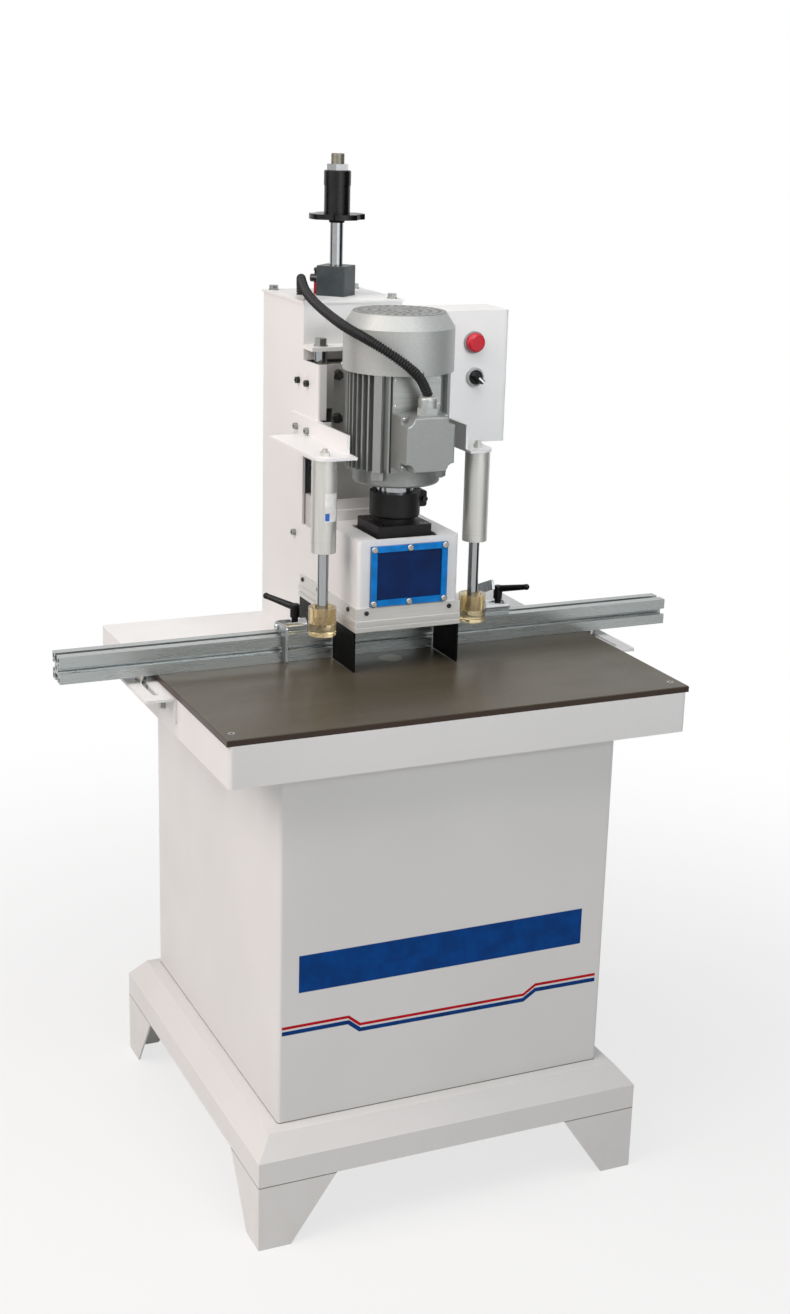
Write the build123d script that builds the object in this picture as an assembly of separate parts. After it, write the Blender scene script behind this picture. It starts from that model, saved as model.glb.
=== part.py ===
from build123d import *
import os
from math import atan2, cos, degrees, hypot, pi, radians, sin, tan

# Vertical boring machine for hinge cups: a sheet-steel stand and column, a three-spindle head
# with a flange motor that feeds down on two guide shafts, a hood with side curtains, a slotted
# fence with two flip stops, and two air clamps.
# Millimetres, +Z up, +X to the operator's right, +Y to the back. The origin is on the floor
# under the middle of the base.

# Clearances
RUN = 0.05          # radial, a shaft turning or sliding in its bore
SLIDE = 0.3         # between flat faces that slide past each other
AIR = 1.0           # between a rotor and what surrounds it

# Travels
FEED_TRAVEL = 57.0
DEPTH_TRAVEL = 6.0
CLAMP_TRAVEL = 45.0
FENCE_FORWARD = 4.0
FENCE_BACKWARD = 25.0
BLADE_FLIP = 112.0

# Fasteners
SOCKET_D = 10.0
SOCKET_H = 6.0
HEX_AF = 13.0
HEX_H = 6.0
WASHER_D = 16.0
WASHER_T = 1.5
BOLT_D = 8.0
PAN_D = 7.0
WINDOW_SCREW_D = 10.0
PAN_H = 2.6
SMALL_D = 4.0
DIAGONALS = (45, 135, 225, 315)     # bearings of the motor's lugs
COWL_BEARINGS = (30, 150, 270)      # bearings of the cowl's screws

# Cabinet
CAB_W = 522.0
CAB_D = 562.0
CAB_H = 596.0
CAB_T = 2.0
CAB_BEND = 5.0
CAB_FLANGE = 24.0
PANEL_T = 1.5
PANEL_MARGIN = 10.0

# Plinth
BASE_SIDE = 45.0    # how far the plinth stands out from the cabinet at each side
BASE_FRONT = 45.0
BASE_BACK = 37.0
BASE_W = CAB_W + 2 * BASE_SIDE
BASE_D = CAB_D + BASE_FRONT + BASE_BACK
BASE_T = 3.0
FOOT_H = 102.0
FOOT_TOE = 50.0     # foot's width on the floor
FOOT_HEEL = 120.0   # foot's width under the band
BAND_H = 38.0
BEVEL_IN = 24.5
BEVEL_H = 30.0
PLINTH_TOP = FOOT_H + BAND_H + BEVEL_H
CAB_FRONT = -BASE_D / 2 + BASE_FRONT
CAB_BACK = CAB_FRONT + CAB_D

# Table tray and plate
TRAY_W = 700.0
TRAY_NOSE = 44.5    # overhang in front of the cabinet
TRAY_TAIL = 5.0
TRAY_H = 60.0
TRAY_T = 3.0
TRAY_BEND = 6.0
TRAY_FRONT = CAB_FRONT - TRAY_NOSE
TRAY_BACK = CAB_BACK + TRAY_TAIL
TRAY_TOP = PLINTH_TOP + CAB_H + TRAY_T
PLATE_OVER = 3.0
PLATE_T = 9.0
PLATE_W = TRAY_W + 2 * PLATE_OVER
PLATE_INSET = 0.5
PLATE_FRONT = TRAY_FRONT + PLATE_INSET
PLATE_SCREW_IN = 15.5
PLATE_SCREW_Y = 27.0
TABLE_Z = TRAY_TOP + PLATE_T

# Motor sizes that set the column's width
COWL_D = 160.0
COWL_T = 2.0

# Column
COL_W = COWL_D
COL_D = 172.0
COL_H = 517.0
COL_T = 4.0
COL_BACK = TRAY_BACK
COL_FRONT = COL_BACK - COL_D
PLATE_BACK = COL_FRONT - 58.0
CAP_T = 4.0
CAP_OVER = 2.0
CAP_BOLT_IN = 12.0
COL_PANEL_T = 3.0
SIDE_TOP = TRAY_TOP + COL_H
COL_TOP = SIDE_TOP + CAP_T
INNER_X = COL_W / 2 - COL_T
STEP_D = 78.0       # forward step of the side plates that carries the hood
STEP_DROP = 83.0
STEP_LIP = 15.0
STEP_BEND = 5.0
NECK_BACK = 21.0    # its front edge steps back above the clamp arms
STEP_FRONT = COL_FRONT - STEP_D
STEP_TOP = SIDE_TOP - STEP_DROP
SIDE_BOLT_DROP = 32.0
SIDE_BOLT_YS = (COL_FRONT + 17.0, COL_FRONT - 20.0)
LOW_BOLT_Y = COL_FRONT + 27.0
LOW_BOLT_UP = 165.0

# Hood
HOOD_UP = 67.0      # hood's lower edge above the table
HOOD_H = 130.0
HOOD_D = 145.0
HOOD_T = 2.0
HOOD_BEND = 6.0
HOOD_FRONT = STEP_FRONT - HOOD_D
HOOD_BOTTOM = TABLE_Z + HOOD_UP
HOOD_TOP = HOOD_BOTTOM + HOOD_H
CUTOUT_STRIP = 4.0
SILL_H = (15.0, 30.0)
SILL_D = (12.0, 3.0)
WINDOW_W = 121.0
WINDOW_Z = (HOOD_BOTTOM + 32.0, HOOD_TOP - 9.0)
WINDOW_BAR = 9.0
PANE_T = 2.0
FRAME_T = 2.5
RIM_TOP = HOOD_BOTTOM + 30.0
RIM_BOTTOM = HOOD_BOTTOM - 5.0
RIM_FLAT = 2.0
RIM_LIP = 4.0
RIM_LIP_H = 16.0
RIM_GROOVE = 4.0
SIDE_WINDOW_Y = (STEP_FRONT + 16.0, COL_FRONT - 2.0)
SIDE_WINDOW_Z = (HOOD_TOP - 22.0, HOOD_TOP + 83.0)

# Drilling head
AXIS_Y = HOOD_FRONT + 55.0
BOX_HALF = 48.0
BOX_Y = (AXIS_Y - 48.0, AXIS_Y + 45.0)
BOX_UP = 122.0      # gearbox above the table
BOX_H = 70.0
BOX_BOTTOM = TABLE_Z + BOX_UP
BOX_TOP = BOX_BOTTOM + BOX_H
BOX_LID = 12.0
BOX_BEND = 5.0
BOX_ROOM_HALF = 40.0
BOX_ROOM_Y = (AXIS_Y - 30.0, AXIS_Y + 20.0)
BOX_ROOM_Z = (BOX_BOTTOM + 24.0, BOX_TOP - 22.0)
CUTOUT_HALF = BOX_HALF + AIR
CUTOUT_BACK = BOX_Y[1] + 2 * AIR
GEAR_TEETH = 24
GEAR_T = 16.0
GEAR_Z = (BOX_ROOM_Z[0] + 4.0, BOX_ROOM_Z[0] + 4.0 + GEAR_T)
GEAR_BACKLASH = 0.36
SIDE_X = 22.5
SIDE_Y = -9.5
SPINDLE_D = 15.0
NOSE_D = 19.0
NOSE_H = 18.0
NOSE_Z = BOX_BOTTOM - NOSE_H
BEARING_D = 22.0
BEARING_H = 10.0
LOWER_BEARING_Z = BOX_BOTTOM + 6.0
UPPER_BEARING_Z = BOX_TOP - 18.0
SHANK_D = 10.0
SHANK_DEEP = 20.0
CUP_BIT_D = 35.0
CUP_HEAD_H = 12.0
CUP_BIT_L = 41.0
BIT_TIP = NOSE_Z - CUP_BIT_L
POINT_H = 3.0
SIDE_BIT_D = 8.0
SIDE_BIT_L = 39.0
SIDE_COLLAR_H = 8.0
SIDE_BIT_TIP = NOSE_Z - SIDE_BIT_L

# Coupling housing between gearbox and motor
SQUARE_FLANGE = 84.0
SQUARE_FLANGE_T = 20.0
NECK_D = 61.0
NECK_H = 7.0
RING_D = 74.0
RING_H = 37.0
RING_TOP = BOX_TOP + SQUARE_FLANGE_T + NECK_H + RING_H
COUPLING_BORE = 44.0
SPIGOT_BORE = 56.0
SPIGOT_DEEP = 24.0
LUG_OUT = 45.5
LUG_W = 26.0
LUG_H = 24.0
LUG_SPLIT = 3.0
CLAMP_SCREW_D = 8.0
HUB_D = 36.0

# Motor
SHIELD_D = 128.0
SHIELD_H = 24.0
SHIELD_LUG = 74.0   # radius to which the end shield's lugs reach
SHIELD_LUG_W = 18.0
SPIGOT_SHOWS = 15.0
MOTOR_BOTTOM = RING_TOP + SPIGOT_SHOWS
BODY_H = 146.0
BODY_BOTTOM = MOTOR_BOTTOM + SHIELD_H
BODY_TOP = BODY_BOTTOM + BODY_H
FIN_D = COWL_D - 10.0
FIN_T = 2.6
FIN_COUNT = 44
BODY_D = FIN_D - 20.0
BODY_BORE = BODY_D - 22.0
BODY_LID = 16.0
BOSS_W = 12.0
STATOR_BORE = 72.0
STATOR_Z = (BODY_BOTTOM + 22.0, BODY_TOP - 24.0)
SHAFT_MOTOR_D = 19.0
MOTOR_BEARING_D = 40.0
MOTOR_BEARING_H = 12.0
COWL_OVERLAP = 8.0
COWL_SHOULDER = BODY_TOP + 54.0
COWL_TOP = COWL_SHOULDER + 21.0
COWL_TOP_D = COWL_D - 27.0
GRILLE_RINGS = ((16.0, 8), (30.0, 16), (44.0, 24), (57.0, 30))
GRILLE_HOLE = 6.5
FAN_D = 128.0
FAN_BLADES = 8
FAN_T = 3.0
FAN_Z = (BODY_TOP + 9.0, BODY_TOP + 43.0)
PAD_STEP = 2.0      # terminal pad stands this far out of the plain pad
PAD_IN = 7.0        # and this far in from the tips of the fins
PAD_FRONT = AXIS_Y - (FIN_D / 2 - PAD_IN)
TERM_HALF = 37.0
TERM_BASE = PAD_FRONT - 28.0
TERM_FRONT = TERM_BASE - 22.0
TERM_Z = (BODY_BOTTOM + 9.0, BODY_BOTTOM + 87.0)
TERM_NOTCH = 12.0
TERM_WALL = 3.0
GLAND_X = 5.0
GLAND_Y = PAD_FRONT - 25.0
GLAND_AF = 28.0
GLAND_HEX_H = 10.0
GLAND_H = 26.0

# Guide shafts and carriage
SHAFT_D = 20.0
BUSH_D = 28.0
BUSH_L = 30.0
BUSH_HOUSE = 31.0
SHAFT_X = INNER_X - BUSH_HOUSE / 2 - SLIDE
SHAFT_Y = COL_FRONT - 20.0
TIE_T = 6.0
TIE_UP = 17.0
TIE_DEPTH = 36.0
TIE_HEX_AF = 17.0
TIE_HEX_H = 10.0
TIE_WASHER_D = 22.0
TIE_BOTTOM = STEP_TOP + TIE_UP
SHAFT_FOOT_UP = 28.0
SHAFT_FOOT_H = 15.0
SHAFT_FOOT_Z = (HOOD_BOTTOM + SHAFT_FOOT_UP, HOOD_BOTTOM + SHAFT_FOOT_UP + SHAFT_FOOT_H)
WEB_HALF = SHAFT_X - BUSH_HOUSE / 2
WEB_T = 20.0
WEB_Y = (SHAFT_Y - WEB_T / 2, SHAFT_Y + WEB_T / 2)
CAR_BOTTOM = SHAFT_FOOT_Z[1] + FEED_TRAVEL + AIR
CAR_TOP = TIE_BOTTOM - 20.0
CAR_FOOT_H = 55.0
CAR_HEAD_H = 65.0
ARM_HALF = 38.0
ARM_Z = (BOX_BOTTOM + 5.0, HOOD_TOP - HOOD_T - 5.0)

# Feed cylinder and depth stop
FEED_Y = COL_FRONT + 72.0
FEED_ROD_D = 20.0
BARREL_D = 63.0
BARREL_BORE = 55.0
BARREL_L = 181.0
BARREL_Z = SIDE_TOP - BARREL_L
LOWER_CAP_H = 20.0
PISTON_H = 20.0
PISTON_TOP = SIDE_TOP - 24.0
FEED_ARM_HALF = 18.0
FEED_ARM_H = 30.0
FEED_ARM_DROP = 55.0
FEED_ARM_TOP = BARREL_Z - LOWER_CAP_H - FEED_ARM_DROP
FEED_ARM_Z = (FEED_ARM_TOP - FEED_ARM_H, FEED_ARM_TOP)
FEED_ARM_PAST = 16.0
ROD_NUT_AF = 30.0
ROD_NUT_H = 9.0
ROD_SPARE = 15.3    # bare rod past its end nuts
ROD_BOTTOM = FEED_ARM_Z[0] - ROD_NUT_H - ROD_SPARE
BLOCK_S = 46.0
BLOCK_H = 45.0
BLOCK_TOP = COL_TOP + BLOCK_H
BUMPER_H = 5.0
BUMPER_D = (23.0, 25.0)
BUMPER_Z = BLOCK_TOP + FEED_TRAVEL + DEPTH_TRAVEL + 2 * SLIDE
FLANGE_D = 85.0
FLANGE_T = 8.0
FLANGE_LOBES = 4
FLANGE_SCOOP_R = 30.0
FLANGE_SCOOP_AT = 66.0
FLANGE_Z = BUMPER_Z + BUMPER_H + SLIDE
SLEEVE_D = 39.5
SLEEVE_HEAD_D = 41.0
SLEEVE_HEAD_H = 22.0
SLEEVE_H = 63.5
SLEEVE_Z = (FLANGE_Z + FLANGE_T, FLANGE_Z + FLANGE_T + SLEEVE_H)
LOCK_NUT_Z = SLEEVE_Z[1] + SLIDE
ROD_TOP = LOCK_NUT_Z + ROD_NUT_H + ROD_SPARE
FITTING_D = 13.0
FITTING_L = 15.0
FITTING_UP = 24.0
FITTING_RING = 3.0
AIR_TUBE_D = 6.0

# Fence and its brackets
BRACKET_W = 46.0
BRACKET_T = 4.0
BRACKET_H = 38.0
FENCE_S = 40.0
FENCE_PAST = 100.0  # fence beyond each bracket
FENCE_L = TRAY_W + 2 * BRACKET_W + 2 * FENCE_PAST
FENCE_Y = AXIS_Y + 51.0
FENCE_Z = TABLE_Z + SLIDE
FENCE_TOP = FENCE_Z + FENCE_S
FENCE_FRONT = FENCE_Y - FENCE_S / 2
FENCE_BACK = FENCE_Y + FENCE_S / 2
SLOT_W = 9.0
SLOT_LIP = 4.5
SLOT_ROOM_W = 17.0
SLOT_ROOM_H = 4.8
SLOT_TAPER_H = 2.2
FENCE_BORE = 7.0
POCKET = 6.0
POCKET_AT = 14.5
BRACKET_Y = (FENCE_Y - 101.0, FENCE_Y + 61.0)
BRACKET_TOP = TRAY_TOP - 1.0
BRACKET_SLOT_W = 10.0
BRACKET_SLOT_Y = (FENCE_Y - 79.0, FENCE_Y + 47.0)
BRACKET_BOLT_YS = (FENCE_Y - 53.0, FENCE_Y + 35.0)
BRACKET_BOLT_DROP = 22.0
FENCE_BOLT_D = 8.0
FENCE_NUT_AF = 13.0
FENCE_NUT_H = 6.5
FENCE_HEAD_H = 4.0

# Curtains
CURTAIN_T = 2.5
CURTAIN_BACK = COL_FRONT - 6.0
CURTAIN_FLOOR = 1.5
CURTAIN_GAP = 5.0   # behind and above the fence at the end of its travel
CURTAIN_CLEAR = 1.5     # before its front face
CURTAIN_NOTCH_Y = (FENCE_FRONT - FENCE_FORWARD - CURTAIN_CLEAR, FENCE_BACK + FENCE_BACKWARD + CURTAIN_GAP)

# Flip stops
LEFT_STOP_X = -135.0
RIGHT_STOP_X = 203.0
SPIGOT_D = 19.0
SPIGOT_LEFT = -24.0
SPIGOT_RIGHT = 17.5
SADDLE_HALF = 6.5
STOP_PIN_D = 9.0
STOP_HEAD_D = 12.0
STOP_HEAD_T = 2.5
BLADE_HUB_R = 9.0
BLADE_T = 4.0
BLADE_W = 15.0
BLADE_FLOOR = 2.5
BLADE_GAP = 1.5
BLADE_BEND = 3.0
TNUT_W = 14.0
TNUT_L = 26.0
TNUT_H = 4.0
STUD_D = 6.0
LEVER_SINK = 3.5    # depth of the flat it stands on
LEVER_NECK_D = 10.0
LEVER_NECK_H = 6.0
LEVER_HUB_D = 14.0
LEVER_HUB_H = 26.5
LEVER_ARM = 50.0
LEVER_RISE = 12.0
LEFT_LEVER_TURN = -50.0     # to the back
RIGHT_LEVER_TURN = -55.0    # to the front
LEVER_ROOT_R = 5.5
LEVER_TIP_R = 4.2
LEVER_BALL_R = 4.8

# Air clamps
CLAMP_X = COL_W / 2 + 41.0
CLAMP_Y = AXIS_Y - 23.0
CLAMP_UP = 313.0
CLAMP_L = 135.0
CLAMP_TOP = TABLE_Z + CLAMP_UP
CLAMP_BOTTOM = CLAMP_TOP - CLAMP_L
CLAMP_D = 37.0
CLAMP_BORE = 32.0
CLAMP_ROD_D = 16.0
CLAMP_LID = 14.0
CLAMP_GROOVE = 1.5
CLAMP_PISTON_H = 14.0
THIN_BOARD = 9.0    # thinnest board that the cups reach
CUP_D = 41.0
CUP_H = 42.0
CUP_Z = (TABLE_Z + THIN_BOARD + CLAMP_TRAVEL, TABLE_Z + THIN_BOARD + CLAMP_TRAVEL + CUP_H)
CUP_ROOM_D = 29.0
CUP_FLOOR = 18.0
CUP_NUT_AF = 19.0
CUP_NUT_H = 8.0
ARMS_T = 4.0
ARMS_H = 30.0
ARMS_OUT = CLAMP_X + 19.0
ARMS_FRONT = CLAMP_Y - 23.0
ARMS_WEB_FRONT = ARMS_FRONT + 29.0
ARMS_BACK = COL_FRONT + 38.0
ARMS_ROUND = 20.0
ARMS_BOLT_UP = 11.0
NECK_Z = CLAMP_TOP + ARMS_H
LEFT_SHELF_BACK = COL_FRONT - 15.0
LEFT_ARM_BOLTS = (COL_FRONT + 13.0, COL_FRONT - 32.0)

# Control box
CONTROL_W = 150.0
CONTROL_D = 80.0
CONTROL_H = 201.0
CONTROL_Y = (COL_FRONT - 58.0, COL_FRONT - 58.0 + CONTROL_D)
CONTROL_Z = (CLAMP_TOP - 15.0, CLAMP_TOP - 15.0 + CONTROL_H)
CONTROL_T = 2.0
CONTROL_BEND = 6.0
ARMS_JOG = 18.0
JOG_BACK = CONTROL_Y[0] - 22.0
JOG_FRONT = JOG_BACK - ARMS_JOG
RIGHT_ARM_H = 39.0
RIGHT_WEB_FRONT = CLAMP_Y - 6.0
RIGHT_ARM_BOLTS = (CONTROL_Y[1] + 9.0, CONTROL_Y[0] - 10.0)
LAMP_FROM_RIGHT = 60.0
LAMP_DOWN = 47.0
LAMP_D = 29.0
LAMP_BEZEL_D = 33.0
LAMP_OUT = 14.0
SELECTOR_FROM_RIGHT = 56.5
SELECTOR_DOWN = 100.0
SELECTOR_BEZEL_D = 29.0
SELECTOR_D = 22.0
SELECTOR_RIM = 2.0
SELECTOR_OUT = 12.0
SELECTOR_GRIP = 7.0
SELECTOR_TILT = 40.0
BEZEL_T = 5.0

# Conduit
CONDUIT_D = 14.5
CONDUIT_ROOT_D = 12.5
CONDUIT_BORE = 9.5
CONDUIT_RIBS = 118
CONDUIT_HOLE_X = -50.0
CONDUIT_HOLE_Y = COL_FRONT + 90.0
CONDUIT_SUNK = 14.0
CONDUIT_POINTS = (
    (-50.0, 208.0, 1316.0),
    (-66.0, 166.0, 1316.0),
    (-78.0, 118.0, 1304.0),
    (-87.0, 56.0, 1294.0),
    (-92.0, -14.0, 1284.0),
    (-93.0, -74.0, 1275.0),
    (-82.0, -114.0, 1266.0),
    (-58.0, -142.0, 1249.0),
    (-26.0, -152.0, 1226.0),
    (GLAND_X, GLAND_Y, TERM_Z[1] + GLAND_H + 27.0),
)


def box(x, y, z):
    """Block between the low and high values of x, y and z."""
    size = [high - low for low, high in (x, y, z)]
    middle = [(low + high) / 2 for low, high in (x, y, z)]
    return Pos(*middle) * Box(*size)


def both(half):
    return (-half, half)


def post(d, x, y, z):
    """Upright cylinder."""
    return Pos(x, y, (z[0] + z[1]) / 2) * Cylinder(d / 2, z[1] - z[0])


def tube(d, bore, x, y, z):
    return post(d, x, y, z) - post(bore, x, y, z)


def bar_x(d, x, y, z):
    return Pos((x[0] + x[1]) / 2, y, z) * Rot(0, 90, 0) * Cylinder(d / 2, x[1] - x[0])


def bar_y(d, x, y, z):
    return Pos(x, (y[0] + y[1]) / 2, z) * Rot(90, 0, 0) * Cylinder(d / 2, y[1] - y[0])


def prism_x(points, x):
    """Outline in Y and Z, extruded along X."""
    return extrude(Plane.YZ.offset(x[0]) * Polygon(*points, align=None), x[1] - x[0], dir=(1, 0, 0))


def prism_z(points, z):
    """Outline in X and Y, extruded along Z."""
    return extrude(Plane.XY.offset(z[0]) * Polygon(*points, align=None), z[1] - z[0], dir=(0, 0, 1))


def prism_y(points, y):
    """Outline in X and Z, extruded along Y."""
    return extrude(Plane.XZ.offset(-y[0]) * Polygon(*points, align=None), y[1] - y[0], dir=(0, 1, 0))


def hex_z(across, x, y, z):
    """Upright hexagon prism with the given width across its flats."""
    outline = RegularPolygon(across / 2, 6, major_radius=False)
    return Pos(x, y, z[0]) * extrude(outline, z[1] - z[0])


def cut(solid, tools):
    """Solid with every tool taken out of it."""
    for tool in tools:
        solid = solid - tool
    return solid


def flip(solid):
    """Mirror image across the machine's middle plane."""
    return mirror(solid, about=Plane.YZ)


def socket_bolt(seat, direction, reach, d=SOCKET_D):
    """Socket screw: its head stands on the seat point, its shank goes the other way."""
    shank_d = d * 0.6
    head = Pos(0, 0, SOCKET_H / 2) * Cylinder(d / 2, SOCKET_H)
    key = Pos(0, 0, SOCKET_H * 0.7) * extrude(RegularPolygon(d * 0.27, 6), SOCKET_H * 0.3)
    shank = Pos(0, 0, -reach / 2) * Cylinder(shank_d / 2, reach)
    return Plane(origin=seat, z_dir=direction).location * ((head - key) + shank)


def hex_bolt(seat, direction, reach, across=HEX_AF, high=HEX_H, washer_d=WASHER_D):
    """Hexagon bolt with its washer."""
    washer = Pos(0, 0, WASHER_T / 2) * Cylinder(washer_d / 2, WASHER_T)
    head = Pos(0, 0, WASHER_T) * extrude(RegularPolygon(across / 2, 6, major_radius=False), high)
    shank = Pos(0, 0, -reach / 2) * Cylinder(BOLT_D / 2, reach)
    return Plane(origin=seat, z_dir=direction).location * (washer + head + shank)


def pan_screw(seat, direction, reach, d=PAN_D):
    """Small round-headed screw with a cross slot."""
    head = Pos(0, 0, PAN_H / 2) * Cylinder(d / 2, PAN_H)
    head = fillet(head.edges().group_by(Axis.Z)[-1], PAN_H * 0.6)
    slot = Pos(0, 0, PAN_H) * Box(d * 0.55, d * 0.14, PAN_H * 0.8)
    slots = [slot, Rot(0, 0, 90) * slot]
    shank = Pos(0, 0, -reach / 2) * Cylinder(SMALL_D / 2, reach)
    return Plane(origin=seat, z_dir=direction).location * (cut(head, slots) + shank)


def shell_box(x, y, z, wall, bend):
    """Folded sheet box with rounded upright corners, closed on all sides."""
    outer = box(x, y, z)
    outer = fillet(outer.edges().filter_by(Axis.Z), bend)
    inner = box((x[0] + wall, x[1] - wall), (y[0] + wall, y[1] - wall), (z[0] + wall, z[1] - wall))
    inner = fillet(inner.edges().filter_by(Axis.Z), bend - wall)
    return outer - inner


# Stand

def base_plinth():
    band_top = FOOT_H + BAND_H
    half_w, half_d = BASE_W / 2, BASE_D / 2

    def hull(inset, low, high):
        top_in = BEVEL_IN + inset
        lower = Plane.XY.offset(band_top) * Rectangle(BASE_W - 2 * inset, BASE_D - 2 * inset)
        upper = Plane.XY.offset(high) * Rectangle(BASE_W - 2 * top_in, BASE_D - 2 * top_in)
        skirt = box(both(half_w - inset), both(half_d - inset), (low, band_top))
        return skirt + loft([lower, upper])

    def arch(half):
        return [(-half + FOOT_TOE, -BASE_T), (-half + FOOT_TOE, 0), (-half + FOOT_HEEL, FOOT_H),
                (half - FOOT_HEEL, FOOT_H), (half - FOOT_TOE, 0), (half - FOOT_TOE, -BASE_T)]

    shell = hull(0, 0, PLINTH_TOP) - hull(BASE_T, -BASE_T, PLINTH_TOP - BASE_T)
    shell = shell - prism_y(arch(half_w), both(BASE_D)) - prism_x(arch(half_d), both(BASE_W))
    return [shell]


def cabinet_panels():
    half = CAB_W / 2
    z = (PLINTH_TOP, PLINTH_TOP + CAB_H)
    outer = box(both(half), (CAB_FRONT, CAB_BACK), z)
    outer = fillet(outer.edges().filter_by(Axis.Z).group_by(Axis.Y)[0], CAB_BEND)
    inner = box(both(half - CAB_T), (CAB_FRONT + CAB_T, CAB_BACK + CAB_T), z)
    inner = fillet(inner.edges().filter_by(Axis.Z).group_by(Axis.Y)[0], CAB_BEND - CAB_T)
    wrap = outer - inner
    for side in (-1, 1):
        edges = sorted((side * half, side * (half - CAB_FLANGE)))
        wrap = wrap + box(edges, (CAB_BACK - CAB_T, CAB_BACK), z)
    panel_half = half - PANEL_MARGIN
    panel_z = (z[0] + PANEL_MARGIN, z[1] - TRAY_H)
    panel = box(both(panel_half), (CAB_BACK, CAB_BACK + PANEL_T), panel_z)
    return [cut(wrap, panel_screws()), cut(panel, panel_screws())]


def panel_screws():
    """Pan screws round the cabinet's back panel."""
    x = CAB_W / 2 - (PANEL_MARGIN + CAB_FLANGE) / 2
    z_low = PLINTH_TOP + 3 * PANEL_MARGIN
    z_high = PLINTH_TOP + CAB_H - TRAY_H - 2 * PANEL_MARGIN
    heights = (z_low, (z_low + z_high) / 2, z_high)
    y, reach = CAB_BACK + PANEL_T, PANEL_T + CAB_T
    return [pan_screw((sx, y, z), (0, 1, 0), reach) for sx in both(x) for z in heights]


def table_tray():
    """Folded tray: its top sheet, then its straight walls and bent corners."""
    half, low, under = TRAY_W / 2, TRAY_TOP - TRAY_H, TRAY_TOP - TRAY_T
    outer = box(both(half), (TRAY_FRONT, TRAY_BACK), (low, TRAY_TOP))
    outer = fillet(outer.edges().filter_by(Axis.Z), TRAY_BEND)
    inner_y = (TRAY_FRONT + TRAY_T, TRAY_BACK - TRAY_T)
    inner = box(both(half - TRAY_T), inner_y, (low, under))
    inner = fillet(inner.edges().filter_by(Axis.Z), TRAY_BEND - TRAY_T)
    sheet = outer & box(both(half), (TRAY_FRONT, TRAY_BACK), (under, TRAY_TOP))
    xs = (-half, TRAY_BEND - half, half - TRAY_BEND, half)
    ys = (TRAY_FRONT, TRAY_FRONT + TRAY_BEND, TRAY_BACK - TRAY_BEND, TRAY_BACK)
    cells = [(x, y) for x in zip(xs, xs[1:]) for y in zip(ys, ys[1:])]
    walls = [(outer - inner) & box(x, y, (low, under)) for x, y in cells if (x, y) != (xs[1:3], ys[1:3])]
    return [cut(sheet, table_screws())] + [cut(wall, bracket_bolts()) for wall in walls]


def table_screws():
    """Countersunk screws, flush with the table plate."""
    x = PLATE_W / 2 - PLATE_SCREW_IN
    y_front, y_back = PLATE_FRONT + PLATE_SCREW_Y, PLATE_BACK - PLATE_SCREW_Y
    screws = []
    for sx, sy in ((-x, y_front), (x, y_front), (-x, y_back), (x, y_back)):
        head = Pos(sx, sy, TABLE_Z - SOCKET_D / 4) * Cone(SOCKET_D / 4, SOCKET_D / 2, SOCKET_D / 2)
        shank = post(SOCKET_D / 2, sx, sy, (TRAY_TOP - TRAY_T, TABLE_Z - SOCKET_D / 2))
        key = Pos(sx, sy, TABLE_Z - SOCKET_D / 5) * extrude(RegularPolygon(SOCKET_D / 4, 6), SOCKET_D / 5)
        screws.append(head + shank - key)
    return screws


def table_plate():
    plate = box(both(PLATE_W / 2), (PLATE_FRONT, PLATE_BACK), (TRAY_TOP, TABLE_Z))
    plate = chamfer(plate.edges().group_by(Axis.Z)[-1], 1.0)
    x = PLATE_W / 2 - PLATE_SCREW_IN
    for sx in both(x):
        for sy in (PLATE_FRONT + PLATE_SCREW_Y, PLATE_BACK - PLATE_SCREW_Y):
            sink = Pos(sx, sy, TABLE_Z - SOCKET_D / 4) * Cone(SOCKET_D / 4, SOCKET_D / 2, SOCKET_D / 2)
            plate = plate - sink - post(SOCKET_D / 2, sx, sy, (TRAY_TOP, TABLE_Z))
    return [plate]


# Fence

def fence_profile():
    half = FENCE_S / 2
    outline = Rectangle(FENCE_S, FENCE_S)
    for turn in (0, 90, 180, 270):
        neck = Pos(0, half - SLOT_LIP / 2) * Rectangle(SLOT_W, SLOT_LIP)
        wide, lip = SLOT_ROOM_W / 2, half - SLOT_LIP
        waist, floor = lip - SLOT_ROOM_H, lip - SLOT_ROOM_H - SLOT_TAPER_H
        right = [(SLOT_W / 2, floor), (wide, waist), (wide, lip)]
        left = [(-x, y) for x, y in reversed(right)]
        room = Polygon(*left, *right, align=None)
        pocket = Pos(POCKET_AT, POCKET_AT) * Rectangle(POCKET, POCKET)
        for hole in (neck, room, pocket):
            outline = outline - Rot(0, 0, turn) * hole
    outline = outline - Circle(FENCE_BORE / 2)
    start = (-FENCE_L / 2, FENCE_Y, FENCE_Z + half)
    return [extrude(Plane(origin=start, x_dir=(0, 1, 0), z_dir=(1, 0, 0)) * outline, FENCE_L)]


def bracket_slot_x():
    return TRAY_W / 2 + BRACKET_W / 2


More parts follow.
